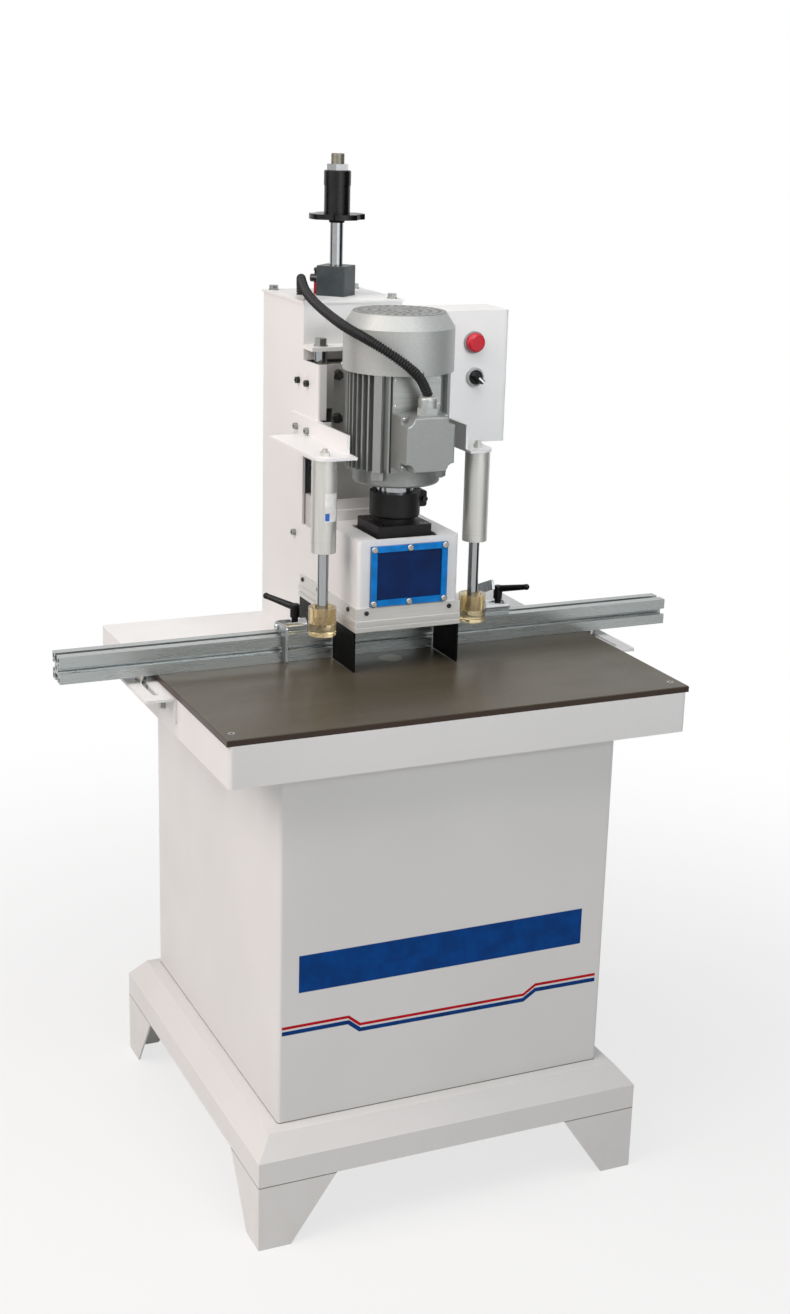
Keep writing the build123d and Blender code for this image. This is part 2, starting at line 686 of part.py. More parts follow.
def fence_bolts():
    """T-head bolts that hang from the fence's lower slot through the bracket slots."""
    under = BRACKET_TOP - BRACKET_T - SLIDE
    head_z = FENCE_Z + SLOT_LIP
    bolts = []
    for x in both(bracket_slot_x()):
        wide = TNUT_W / 2
        head = box((x - wide, x + wide), (FENCE_Y - wide, FENCE_Y + wide), (head_z, head_z + FENCE_HEAD_H))
        shank = post(FENCE_BOLT_D, x, FENCE_Y, (under - FENCE_NUT_H - WASHER_T, head_z))
        spacer = tube(WASHER_D, FENCE_BOLT_D, x, FENCE_Y, (BRACKET_TOP + SLIDE, FENCE_Z))
        washer = tube(WASHER_D + 2, FENCE_BOLT_D, x, FENCE_Y, (under - WASHER_T, under))
        nut_z = (under - WASHER_T - FENCE_NUT_H, under - WASHER_T)
        nut = hex_z(FENCE_NUT_AF, x, FENCE_Y, nut_z) - post(FENCE_BOLT_D, x, FENCE_Y, nut_z)
        bolts += [head + shank, spacer, washer, nut]
    return bolts


def bracket_bolts():
    """Hexagon bolts that hold the fence brackets to the tray's sides."""
    x = TRAY_W / 2 + BRACKET_T
    z = BRACKET_TOP - BRACKET_BOLT_DROP
    reach = BRACKET_T + TRAY_T
    return [hex_bolt((side * x, y, z), (side, 0, 0), reach) for side in (-1, 1) for y in BRACKET_BOLT_YS]


def fence_brackets():
    wall = TRAY_W / 2
    shelf = box((wall, wall + BRACKET_W), BRACKET_Y, (BRACKET_TOP - BRACKET_T, BRACKET_TOP))
    shelf = fillet(shelf.edges().filter_by(Axis.Z).group_by(Axis.X)[-1], BRACKET_T)
    skirt = box((wall, wall + BRACKET_T), BRACKET_Y, (BRACKET_TOP - BRACKET_H, BRACKET_TOP))
    front, back = BRACKET_SLOT_Y
    slot = SlotOverall(back - front, BRACKET_SLOT_W, rotation=90)
    middle = (front + back) / 2
    slot = Pos(bracket_slot_x(), middle, BRACKET_TOP - BRACKET_T) * extrude(slot, BRACKET_T)
    right = shelf + skirt - slot
    return [cut(right, bracket_bolts()), cut(flip(right), bracket_bolts())]


# Flip stops

def stop_axis_z():
    """Height of the round spigot's axis above the fence."""
    return FENCE_TOP + SLIDE + SPIGOT_D / 2


def lever_seat_z():
    """Height of the flat on the bar that the lever's hub stands on."""
    return stop_axis_z() + SPIGOT_D / 2 - LEVER_SINK


def stop_block(x):
    """Round bar on a saddle with a tongue in the fence's slot, a headed pin for the blade, and a T-nut."""
    seat = FENCE_TOP + SLIDE
    under = FENCE_TOP - SLOT_LIP - SLIDE
    z = stop_axis_z()
    reach = (x + SPIGOT_LEFT, x + SPIGOT_RIGHT)
    bar = bar_x(SPIGOT_D, reach, FENCE_Y, z)
    bar = chamfer(bar.edges().group_by(Axis.X)[-1], 1.0)
    saddle = box(reach, (FENCE_Y - SADDLE_HALF, FENCE_Y + SADDLE_HALF), (seat, z))
    tongue_y = (FENCE_Y - SLOT_W / 2 + SLIDE, FENCE_Y + SLOT_W / 2 - SLIDE)
    tongue = box(reach, tongue_y, (under, z))
    head_right = reach[0] - BLADE_T - 2 * SLIDE
    head_left = head_right - STOP_HEAD_T
    head = bar_x(STOP_HEAD_D, (head_left, head_right), FENCE_Y, z)
    head = chamfer(head.edges().group_by(Axis.X)[0], STOP_HEAD_T / 4)
    pin = bar_x(STOP_PIN_D, (head_left + STOP_HEAD_T / 2, reach[0]), FENCE_Y, z)
    slot_deep = (head_left, head_left + STOP_HEAD_T / 2)
    slot_z = (z - STOP_HEAD_T / 3, z + STOP_HEAD_T / 3)
    slot = box(slot_deep, (FENCE_Y - STOP_HEAD_D, FENCE_Y + STOP_HEAD_D), slot_z)
    flat_half = LEVER_HUB_D / 2 + AIR
    flat_y = (FENCE_Y - SPIGOT_D, FENCE_Y + SPIGOT_D)
    flat = box((x - flat_half, x + flat_half), flat_y, (lever_seat_z(), z + SPIGOT_D))
    stud_hole = post(STUD_D + 2 * SLIDE, x, FENCE_Y, (under, z + SPIGOT_D))
    body = bar + saddle + tongue + pin + head - slot - flat - stud_hole
    nut_y = (FENCE_Y - TNUT_W / 2, FENCE_Y + TNUT_W / 2)
    nut = box((x - TNUT_L / 2, x + TNUT_L / 2), nut_y, (under - TNUT_H, under))
    nut = nut - post(STUD_D + 2 * RUN, x, FENCE_Y, (under - TNUT_H, under))
    return [body, nut]


def stop_blade(x, angle):
    """Flat L-shaped finger on the stop's pin, turned up from hanging by the given angle."""
    right = x + SPIGOT_LEFT - SLIDE
    thick = (right - BLADE_T, right)
    z = stop_axis_z()
    back = FENCE_FRONT - BLADE_GAP
    leg = box(thick, (back - BLADE_W, back), (TABLE_Z + BLADE_FLOOR, z + BLADE_W / 2))
    arm = box(thick, (back - BLADE_W, FENCE_Y), (z - BLADE_W / 2, z + BLADE_W / 2))
    plate = leg + arm
    front = plate.edges().filter_by(Axis.X).group_by(Axis.Y)[0]
    plate = fillet(front, BLADE_BEND)
    plate = plate + bar_x(2 * BLADE_HUB_R, thick, FENCE_Y, z)
    plate = plate - bar_x(STOP_PIN_D + 2 * RUN, thick, FENCE_Y, z)
    return [plate.rotate(Axis((0, FENCE_Y, z), (1, 0, 0)), -angle)]


def stop_lever(x, heading, turn):
    """Clamping lever: stepped hub with a stud, and a tapered arm that rises away from it."""
    low = lever_seat_z() + SLIDE
    neck = low + LEVER_NECK_H
    under = FENCE_TOP - SLOT_LIP - SLIDE - TNUT_H
    hub = post(LEVER_HUB_D, x, FENCE_Y, (neck, low + LEVER_HUB_H))
    hub = fillet(hub.edges().group_by(Axis.Z)[-1], LEVER_HUB_D / 5)
    hub = hub + post(LEVER_NECK_D, x, FENCE_Y, (low, neck))
    arm_z = low + LEVER_HUB_H - LEVER_ROOT_R
    arm = Pos(0, 0, LEVER_ARM / 2) * Cone(LEVER_ROOT_R, LEVER_TIP_R, LEVER_ARM)
    tip = Pos(0, 0, LEVER_ARM) * Sphere(LEVER_BALL_R)
    aim = Rot(0, 0, turn) * Rot(0, heading * (90 - LEVER_RISE), 0)
    arm = Pos(x, FENCE_Y, arm_z) * aim * (arm + tip)
    stud = post(STUD_D, x, FENCE_Y, (under, low + LEVER_HUB_H / 2))
    return [hub + arm + stud]


# Column

def column_side():
    """Right side plate with its window and a forward step whose front edges are folded in."""
    outer = COL_W / 2
    thick = (INNER_X, outer)

    def folded(front, z, lip_low):
        web = box(thick, (front, COL_FRONT), z)
        web = web + box((outer - STEP_LIP, outer), (front, front + COL_T), (lip_low, z[1]))
        bend = web.edges().filter_by(Axis.Z).group_by(Axis.Y)[0].sort_by(Axis.X)[-1]
        return fillet(bend, STEP_BEND)

    plate = box(thick, (COL_FRONT, COL_BACK), (TRAY_TOP, SIDE_TOP))
    step = folded(STEP_FRONT, (HOOD_BOTTOM, NECK_Z), HOOD_TOP + SILL_H[1])
    neck = folded(STEP_FRONT + NECK_BACK, (NECK_Z, STEP_TOP), NECK_Z)
    return plate + step + neck - box(thick, SIDE_WINDOW_Y, SIDE_WINDOW_Z)


def column_sides():
    right = column_side()
    bolts = arm_bolts() + side_bolts() + rim_screws()
    return [cut(flip(right), bolts), cut(right, bolts)]


def column_panels():
    wide = both(INNER_X)
    front = box(wide, (COL_FRONT, COL_FRONT + COL_PANEL_T), (STEP_TOP, SIDE_TOP))
    back = box(wide, (COL_BACK - COL_PANEL_T, COL_BACK), (TRAY_TOP, SIDE_TOP))
    return [front, back]


def column_top_plate():
    half = COL_W / 2 + CAP_OVER
    plate = box(both(half), (COL_FRONT - CAP_OVER, COL_BACK + CAP_OVER), (SIDE_TOP, COL_TOP))
    plate = plate - post(FEED_ROD_D + 2 * AIR, 0, FEED_Y, (SIDE_TOP, COL_TOP))
    plate = plate - post(CONDUIT_D + 2 * SLIDE, CONDUIT_HOLE_X, CONDUIT_HOLE_Y, (SIDE_TOP, COL_TOP))
    return [cut(plate, cap_bolts())]


def cap_bolts():
    x = COL_W / 2 - CAP_BOLT_IN
    ys = (COL_FRONT + CAP_BOLT_IN, COL_BACK - CAP_BOLT_IN)
    return [hex_bolt((sx, y, COL_TOP), (0, 0, 1), CAP_T) for sx in both(x) for y in ys]


def side_bolts():
    """Black screws on the left side plate."""
    places = [(y, STEP_TOP - SIDE_BOLT_DROP) for y in SIDE_BOLT_YS]
    places.append((LOW_BOLT_Y, TRAY_TOP + LOW_BOLT_UP))
    return [socket_bolt((-COL_W / 2, y, z), (-1, 0, 0), COL_T) for y, z in places]


def arm_bolts():
    """Bolts that hold the clamp arms to the column's sides."""
    x = COL_W / 2 + ARMS_T
    z = CLAMP_TOP + ARMS_BOLT_UP
    left = [socket_bolt((-x, y, z), (-1, 0, 0), ARMS_T + COL_T) for y in LEFT_ARM_BOLTS]
    right = [socket_bolt((x, y, z), (1, 0, 0), ARMS_T + COL_T) for y in RIGHT_ARM_BOLTS]
    return left + right


def shaft_holders():
    """Upper tie plate and the two lower blocks that hold the guide shafts."""
    y = (COL_FRONT - TIE_DEPTH, COL_FRONT)
    tie = box(both(COL_W / 2), y, (TIE_BOTTOM, TIE_BOTTOM + TIE_T))
    holders = [cut(tie, tie_bolts())]
    for side in (-1, 1):
        x = sorted((side * (WEB_HALF + AIR), side * INNER_X))
        foot = box(x, (SHAFT_Y - SHAFT_D, SHAFT_Y + SHAFT_D), SHAFT_FOOT_Z)
        holders.append(foot - post(SHAFT_D, side * SHAFT_X, SHAFT_Y, SHAFT_FOOT_Z))
    return holders


def tie_bolts():
    seat, reach = TIE_BOTTOM + TIE_T, TIE_T + SHAFT_D
    head = (TIE_HEX_AF, TIE_HEX_H, TIE_WASHER_D)
    return [hex_bolt((x, SHAFT_Y, seat), (0, 0, 1), reach, *head) for x in both(SHAFT_X)]


def guide_shafts():
    z = (SHAFT_FOOT_Z[0], TIE_BOTTOM)
    return [cut(post(SHAFT_D, x, SHAFT_Y, z), tie_bolts()) for x in both(SHAFT_X)]


# Hood

def hood_shell():
    half = COL_W / 2
    y = (HOOD_FRONT, STEP_FRONT)
    outer = box(both(half), y, (HOOD_BOTTOM, HOOD_TOP))
    outer = fillet(outer.edges().filter_by(Axis.Z).group_by(Axis.Y)[0], HOOD_BEND)
    inner = box(both(half - HOOD_T), (y[0] + HOOD_T, y[1]), (HOOD_BOTTOM, HOOD_TOP - HOOD_T))
    inner = fillet(inner.edges().filter_by(Axis.Z).group_by(Axis.Y)[0], HOOD_BEND - HOOD_T)
    opening = box(both(CUTOUT_HALF), (y[0] + CUTOUT_STRIP, CUTOUT_BACK), (HOOD_TOP - HOOD_T, HOOD_TOP))
    shell = outer - inner - opening - window_sight((y[0], y[0] + HOOD_T))
    for rise, depth in zip(SILL_H, SILL_D):
        shell = shell + box(both(INNER_X), (y[1] - depth, y[1]), (HOOD_TOP - HOOD_T, HOOD_TOP + rise))
    return [cut(shell, window_screws() + rim_screws())]


def window_sight(y):
    """Clear opening inside the window's frame."""
    z = (WINDOW_Z[0] + WINDOW_BAR, WINDOW_Z[1] - WINDOW_BAR)
    return box(both(WINDOW_W / 2 - WINDOW_BAR), y, z)


def window_screws():
    y = HOOD_FRONT - PANE_T - FRAME_T
    x_out = (WINDOW_W - WINDOW_BAR) / 2
    zs = (WINDOW_Z[0] + WINDOW_BAR / 2, WINDOW_Z[1] - WINDOW_BAR / 2)
    reach = PANE_T + FRAME_T + HOOD_T
    xs = (-x_out, 0, x_out)
    return [pan_screw((x, y, z), (0, -1, 0), reach, WINDOW_SCREW_D) for x in xs for z in zs]


def window_frame():
    y = (HOOD_FRONT - PANE_T - FRAME_T, HOOD_FRONT - PANE_T)
    ring = box(both(WINDOW_W / 2), y, WINDOW_Z) - window_sight(y)
    return [cut(ring, window_screws())]


def window_pane():
    pane = box(both(WINDOW_W / 2), (HOOD_FRONT - PANE_T, HOOD_FRONT), WINDOW_Z)
    return [cut(pane, window_screws())]


def rim_outline():
    """Section of the rim strip: distance out from the hood, and height."""
    lip_top = RIM_BOTTOM + RIM_LIP_H
    groove_top = (lip_top + RIM_BOTTOM + RIM_GROOVE) / 2
    groove_low = groove_top - RIM_GROOVE
    flat = [(0, RIM_BOTTOM), (0, RIM_TOP), (RIM_FLAT, RIM_TOP)]
    upper_lip = [(RIM_FLAT, lip_top), (RIM_LIP, lip_top), (RIM_LIP, groove_top), (RIM_FLAT, groove_top)]
    lower_lip = [(RIM_FLAT, groove_low), (RIM_LIP, groove_low), (RIM_LIP, RIM_BOTTOM)]
    return flat + upper_lip + lower_lip


def hood_rim():
    half = COL_W / 2
    front = prism_x([(HOOD_FRONT - out, z) for out, z in rim_outline()], both(half + RIM_LIP))
    side = prism_y([(half + out, z) for out, z in rim_outline()], (HOOD_FRONT, COL_FRONT))
    return [cut(strip, rim_screws()) for strip in (front, side, flip(side))]


def rim_screws():
    half = COL_W / 2
    z = RIM_TOP - PAN_D
    reach = RIM_FLAT + HOOD_T
    front = [pan_screw((x, HOOD_FRONT - RIM_FLAT, z), (0, -1, 0), reach) for x in both(half - 2 * PAN_D)]
    ys = (HOOD_FRONT + 4 * PAN_D, STEP_FRONT, COL_FRONT - 2 * PAN_D)
    sides = [pan_screw((s * (half + RIM_FLAT), y, z), (s, 0, 0), reach) for s in (-1, 1) for y in ys]
    return front + sides


def curtains():
    """Rubber side curtains with a notch that lets the fence through."""
    half = COL_W / 2
    x = (half + RIM_LIP - CURTAIN_T, half + RIM_LIP)
    sheet = box(x, (HOOD_FRONT, CURTAIN_BACK), (TABLE_Z + CURTAIN_FLOOR, RIM_BOTTOM))
    sheet = sheet - box(x, CURTAIN_NOTCH_Y, (TABLE_Z, FENCE_TOP + CURTAIN_GAP))
    return [flip(sheet), sheet]


# Feed cylinder and depth stop

def feed_cylinder():
    z = (BARREL_Z, SIDE_TOP)
    barrel = tube(BARREL_D, BARREL_BORE, 0, FEED_Y, z)
    cap_z = (BARREL_Z - LOWER_CAP_H, BARREL_Z)
    lower = box(both(BARREL_D / 2), (FEED_Y - BARREL_D / 2, FEED_Y + BARREL_D / 2), cap_z)
    return [barrel, lower - post(FEED_ROD_D + 2 * RUN, 0, FEED_Y, cap_z)]


def feed_top_block():
    z = (COL_TOP, COL_TOP + BLOCK_H)
    block = Pos(0, FEED_Y, COL_TOP + BLOCK_H / 2) * Rot(0, 0, 45) * Box(BLOCK_S, BLOCK_S, BLOCK_H)
    block = chamfer(block.edges().filter_by(Axis.Z), 1.5)
    return [block - post(FEED_ROD_D + 2 * RUN, 0, FEED_Y, z)]


def air_line():
    """Push-in fitting with its ring and vent, and the short tube down to the top plate."""
    z = COL_TOP + FITTING_UP
    out = BLOCK_S / 2 * sin(pi / 4)
    face = Plane(origin=(-out, FEED_Y + out, z), z_dir=(-1, 1, 0)).location
    ring = face * (Pos(0, 0, FITTING_RING / 2) * Cylinder(FITTING_D / 2, FITTING_RING))
    body = face * (Pos(0, 0, FITTING_RING + FITTING_L / 2) * Cylinder(FITTING_D / 2 - 0.5, FITTING_L))
    middle = face * Pos(0, 0, FITTING_RING + FITTING_L / 2)
    at = middle.position
    vent = post(FITTING_D / 3, at.X, at.Y, (z, z + FITTING_D))
    vent = vent + Pos(at.X, at.Y, z + FITTING_D) * Sphere(FITTING_D / 4)
    line = post(AIR_TUBE_D, at.X, at.Y, (COL_TOP, z))
    line = line - body
    return [ring, body + vent, line]


def feed_rod():
    """Through rod with its piston, the nut on the carriage arm and the lock nut on top."""
    rod = post(FEED_ROD_D, 0, FEED_Y, (ROD_BOTTOM, ROD_TOP))
    rod = chamfer(rod.edges().group_by(Axis.Z)[-1], 1.0)
    piston = tube(BARREL_BORE - 2 * RUN, FEED_ROD_D, 0, FEED_Y, (PISTON_TOP - PISTON_H, PISTON_TOP))
    nuts = []
    for low in (FEED_ARM_Z[0] - ROD_NUT_H, FEED_ARM_Z[1], LOCK_NUT_Z):
        z = (low, low + ROD_NUT_H)
        nuts.append(hex_z(ROD_NUT_AF, 0, FEED_Y, z) - post(FEED_ROD_D, 0, FEED_Y, z))
    return [rod, piston] + nuts


def depth_sleeve():
    """Knurled sleeve with a lobed flange that turns on the rod's thread."""
    low, high = SLEEVE_Z
    sleeve = post(SLEEVE_D, 0, FEED_Y, (low, high - SLEEVE_HEAD_H))
    sleeve = sleeve + post(SLEEVE_HEAD_D, 0, FEED_Y, (high - SLEEVE_HEAD_H, high))
    sleeve = chamfer(sleeve.edges().group_by(Axis.Z)[-1], 1.2)
    flange = Circle(FLANGE_D / 2)
    for k in range(FLANGE_LOBES):
        turn = 360 / FLANGE_LOBES * (k + 0.5)
        flange = flange - Rot(0, 0, turn) * Pos(FLANGE_SCOOP_AT, 0) * Circle(FLANGE_SCOOP_R)
    flange = Pos(0, FEED_Y, low - FLANGE_T) * extrude(flange, FLANGE_T)
    flange = fillet(flange.edges().filter_by(Axis.Z), FLANGE_T / 3)
    return [sleeve + flange - post(FEED_ROD_D + 2 * RUN, 0, FEED_Y, (low - FLANGE_T, high))]


def depth_bumper():
    high = SLEEVE_Z[0] - FLANGE_T - SLIDE
    cone = Pos(0, FEED_Y, high - BUMPER_H / 2) * Cone(BUMPER_D[0] / 2, BUMPER_D[1] / 2, BUMPER_H)
    return [cone - post(FEED_ROD_D + 2 * RUN, 0, FEED_Y, (high - BUMPER_H, high))]


# Carriage

def carriage():
    web = box(both(WEB_HALF), WEB_Y, (ARM_Z[0], CAR_TOP))
    arm = box(both(ARM_HALF), (BOX_Y[1], WEB_Y[1]), ARM_Z)
    feed_arm = box(both(FEED_ARM_HALF), (WEB_Y[1], FEED_Y + FEED_ARM_PAST), FEED_ARM_Z)
    body = web + arm + feed_arm
    for side in (-1, 1):
        x = sorted((side * WEB_HALF, side * (SHAFT_X + BUSH_HOUSE / 2)))
        y = (SHAFT_Y - BUSH_HOUSE / 2, SHAFT_Y + BUSH_HOUSE / 2)
        for z in ((CAR_BOTTOM, CAR_BOTTOM + CAR_FOOT_H), (CAR_TOP - CAR_HEAD_H, CAR_TOP)):
            body = body + box(x, y, z)
        bore = SHAFT_D + 4 * AIR
        body = body - post(bore, side * SHAFT_X, SHAFT_Y, (CAR_BOTTOM, CAR_TOP))
    body = cut(body, [post(BUSH_D, *at) for at in bush_places()])
    body = body - post(FEED_ROD_D, 0, FEED_Y, FEED_ARM_Z)
    return [cut(body, carriage_bolts())]


def bush_places():
    """x, y and height span of each guide bushing."""
    spans = ((CAR_BOTTOM, CAR_BOTTOM + BUSH_L), (CAR_TOP - BUSH_L, CAR_TOP))
    return [(x, SHAFT_Y, z) for x in both(SHAFT_X) for z in spans]


def carriage_bushings():
    return [tube(BUSH_D, SHAFT_D + 2 * RUN, *at) for at in bush_places()]


def carriage_bolts():
    """Large bolts on the front of the carriage."""
    zs = (CAR_TOP - WASHER_D, CAR_TOP - CAR_HEAD_H - WASHER_D)
    xs = both(WEB_HALF - WASHER_D / 2)
    return [hex_bolt((x, WEB_Y[0], z), (0, -1, 0), WEB_T) for x in xs for z in zs]


# Gearbox and spindles

def spindle_axes():
    """Centre spindle first, then left and right."""
    return ((0.0, AXIS_Y), (-SIDE_X, AXIS_Y + SIDE_Y), (SIDE_X, AXIS_Y + SIDE_Y))


def gearbox_housing():
    lid_z = (BOX_BOTTOM, BOX_BOTTOM + BOX_LID)
    case = box(both(BOX_HALF), BOX_Y, (lid_z[1], BOX_TOP))
    case = fillet(case.edges().filter_by(Axis.Z), BOX_BEND)
    lid = box(both(BOX_HALF), BOX_Y, lid_z)
    lid = fillet(lid.edges().filter_by(Axis.Z), BOX_BEND)
    case = case - box(both(BOX_ROOM_HALF), BOX_ROOM_Y, BOX_ROOM_Z)
    bore = SPINDLE_D + 2 * AIR
    for x, y in spindle_axes():
        case = case - post(bore, x, y, (lid_z[1], BOX_TOP))
        lid = lid - post(bore, x, y, lid_z)
        for low in (LOWER_BEARING_Z, UPPER_BEARING_Z):
            seat = post(BEARING_D, x, y, (low, low + BEARING_H))
            case, lid = case - seat, lid - seat
    return [case, lid]


def spindle_bearings():
    """Bearing rings of the three spindles and of the motor shaft."""
    rings = []
    for x, y in spindle_axes():
        for low in (LOWER_BEARING_Z, UPPER_BEARING_Z):
            rings.append(tube(BEARING_D, SPINDLE_D + 2 * RUN, x, y, (low, low + BEARING_H)))
    for low in motor_bearing_lows():
        z = (low, low + MOTOR_BEARING_H)
        rings.append(tube(MOTOR_BEARING_D, SHAFT_MOTOR_D + 2 * RUN, 0, AXIS_Y, z))
    return rings


def gear(phase):
    """Spur gear of the head, with a tooth at the given angle."""
    pitch_r = hypot(SIDE_X, SIDE_Y) / 2
    module = 2 * pitch_r / GEAR_TEETH
    half_tooth = degrees(pi * module / 4 / pitch_r - GEAR_BACKLASH / 2 / pitch_r)
    flank = ((pitch_r - 1.3 * module, half_tooth * 1.5), (pitch_r + 0.85 * module, half_tooth * 0.5))
    points = []
    for k in range(GEAR_TEETH):
        middle = phase + k * 360 / GEAR_TEETH
        for r, a in (flank[0], flank[1]):
            points.append((r * cos(radians(middle - a)), r * sin(radians(middle - a))))
        for r, a in (flank[1], flank[0]):
            points.append((r * cos(radians(middle + a)), r * sin(radians(middle + a))))
    return extrude(Polygon(*points, align=None), GEAR_Z[1] - GEAR_Z[0])


def gear_phase(x, y):
    """Angle of a tooth, so that a side gear meshes with the centre gear."""
    toward = degrees(atan2(y, x))
    first = degrees(atan2(SIDE_Y, SIDE_X))
    step = 360 / GEAR_TEETH
    slip = (first - toward) % step
    return toward + 180 + step / 2 - slip


def spindle(index):
    x, y = spindle_axes()[index]
    phase = degrees(atan2(SIDE_Y, SIDE_X)) if index == 0 else gear_phase(x, y - AXIS_Y)
    shaft = post(SPINDLE_D, x, y, (BOX_BOTTOM, UPPER_BEARING_Z + BEARING_H))
    nose = post(NOSE_D, x, y, (NOSE_Z, BOX_BOTTOM - AIR)) + post(SPINDLE_D, x, y, (NOSE_Z, BOX_BOTTOM))
    solid = shaft + nose + Pos(x, y, GEAR_Z[0]) * gear(phase)
    return solid - post(SHANK_D, x, y, (NOSE_Z, NOSE_Z + SHANK_DEEP))


def centre_spindle():
    """Centre spindle, reaching up into the hub that joins it to the motor shaft."""
    joint_z = BOX_TOP + SQUARE_FLANGE_T
    top = joint_z + RING_H / 2
    drive = post(SPINDLE_D, 0, AXIS_Y, (UPPER_BEARING_Z, joint_z))
    hub = post(HUB_D, 0, AXIS_Y, (BOX_TOP + AIR, top))
    hub = hub - post(SPINDLE_D, 0, AXIS_Y, (BOX_TOP, joint_z))
    hub = hub - post(SHAFT_MOTOR_D, 0, AXIS_Y, (joint_z, top))
    return [spindle(0) + drive, hub]


def cup_bit():
    """Hinge boring bit: shank, flat cutter head with two cleared edges, centre point."""
    shank = post(SHANK_D, 0, AXIS_Y, (BIT_TIP + CUP_HEAD_H, NOSE_Z + SHANK_DEEP))
    head = post(CUP_BIT_D, 0, AXIS_Y, (BIT_TIP + POINT_H, BIT_TIP + CUP_HEAD_H))
    gullet = CUP_BIT_D * 0.36
    for turn in (0, 180):
        notch = Rot(0, 0, turn) * Pos(gullet, gullet / 2, 0) * Box(gullet, gullet, 2 * CUP_HEAD_H)
        head = head - Pos(0, AXIS_Y, BIT_TIP + POINT_H) * notch
    point = Pos(0, AXIS_Y, BIT_TIP + POINT_H / 2) * Cone(0.2, SHANK_D / 3, POINT_H)
    return [shank + head + point]


def side_bit(index):
    """Dowel bit with a brad point."""
    x, y = spindle_axes()[index]
    collar = NOSE_Z - SIDE_COLLAR_H
    shank = post(SHANK_D, x, y, (collar, NOSE_Z + SHANK_DEEP))
    drill = post(SIDE_BIT_D, x, y, (SIDE_BIT_TIP + POINT_H, NOSE_Z))
    flute = 0.34 * SIDE_BIT_D
    for side in (-1, 1):
        drill = drill - post(flute, x + side * SIDE_BIT_D / 2, y, (SIDE_BIT_TIP, collar))
    point = Pos(x, y, SIDE_BIT_TIP + POINT_H / 2) * Cone(0.2, SIDE_BIT_D / 3, POINT_H)
    return [shank + drill + point]


# Coupling housing and motor

def coupling_housing():
    flange_z = (BOX_TOP, BOX_TOP + SQUARE_FLANGE_T)
    neck_top = flange_z[1] + NECK_H
    half = SQUARE_FLANGE / 2
    flange = box(both(half), (AXIS_Y - half, AXIS_Y + half), flange_z)
    flange = fillet(flange.edges().filter_by(Axis.Z), SQUARE_FLANGE_T / 5)
    neck = post(NECK_D, 0, AXIS_Y, (flange_z[1], neck_top))
    ring = post(RING_D, 0, AXIS_Y, (neck_top, RING_TOP))
    ring = fillet(ring.edges().group_by(Axis.Z)[0], RING_H / 8)
    lug_z = (RING_TOP - LUG_H, RING_TOP)
    lug = box((SPIGOT_BORE / 2, LUG_OUT), (AXIS_Y - LUG_W / 2, AXIS_Y + LUG_W / 2), lug_z)
    lug = fillet(lug.edges().filter_by(Axis.Y).group_by(Axis.X)[-1], LUG_H / 6)
    body = flange + neck + ring + lug
    body = body - post(COUPLING_BORE, 0, AXIS_Y, (BOX_TOP, RING_TOP))
    body = body - post(SPIGOT_BORE, 0, AXIS_Y, (RING_TOP - SPIGOT_DEEP, RING_TOP))
    split = box((COUPLING_BORE / 2, LUG_OUT), (AXIS_Y - LUG_SPLIT / 2, AXIS_Y + LUG_SPLIT / 2), lug_z)
    sinks = [post(SOCKET_D, x, y, (z, flange_z[1])) for x, y, z in flange_seats()]
    return [cut(body - split, sinks + coupling_screws())]


def flange_seats():
    """Seats of the flange's sunk screws."""
    at = SQUARE_FLANGE / 2 - SOCKET_D
    seat = BOX_TOP + SQUARE_FLANGE_T - SOCKET_H
    return [(x, AXIS_Y + y, seat) for x in both(at) for y in both(at)]


def coupling_screws():
    """Four flange screws and the screw that closes the clamp lug."""
    reach = SQUARE_FLANGE_T - SOCKET_H
    screws = [socket_bolt(seat, (0, 0, 1), reach) for seat in flange_seats()]
    lug_seat = (LUG_OUT - CLAMP_SCREW_D / 2 - AIR, AXIS_Y - LUG_W / 2, RING_TOP - LUG_H / 2)
    screws.append(socket_bolt(lug_seat, (0, -1, 0), LUG_W, CLAMP_SCREW_D))
    return screws


def motor_bearing_lows():
    """Lower ends of the motor's two bearings, each set in the middle of its end shield."""
    lower = MOTOR_BOTTOM + (SHIELD_H - MOTOR_BEARING_H) / 2
    upper = BODY_TOP - (BODY_LID + MOTOR_BEARING_H) / 2
    return (lower, upper)


def motor_end_shield():
    """Lower end shield with the bright spigot that the coupling ring clamps."""
    z = (MOTOR_BOTTOM, MOTOR_BOTTOM + SHIELD_H)
    spigot_low = RING_TOP - SPIGOT_DEEP
    shield = post(SHIELD_D, 0, AXIS_Y, z)
    shield = fillet(shield.edges().group_by(Axis.Z)[0], SHIELD_H / 6)
    lug_low = (z[0] + z[1]) / 2
    for turn in DIAGONALS:
        lug = box((SPIGOT_BORE / 2, SHIELD_LUG), both(SHIELD_LUG_W / 2), (lug_low, z[1]))
        shield = shield + Pos(0, AXIS_Y, 0) * Rot(0, 0, turn) * lug
    shield = shield + post(SPIGOT_BORE, 0, AXIS_Y, (spigot_low, z[0]))
    shield = shield - post(SHAFT_MOTOR_D + 2 * AIR, 0, AXIS_Y, (spigot_low, z[1]))
    shield = shield - post(HUB_D + 2 * AIR, 0, AXIS_Y, (spigot_low, MOTOR_BOTTOM - AIR))
    low = motor_bearing_lows()[0]
    return [shield - post(MOTOR_BEARING_D, 0, AXIS_Y, (low, z[1]))]


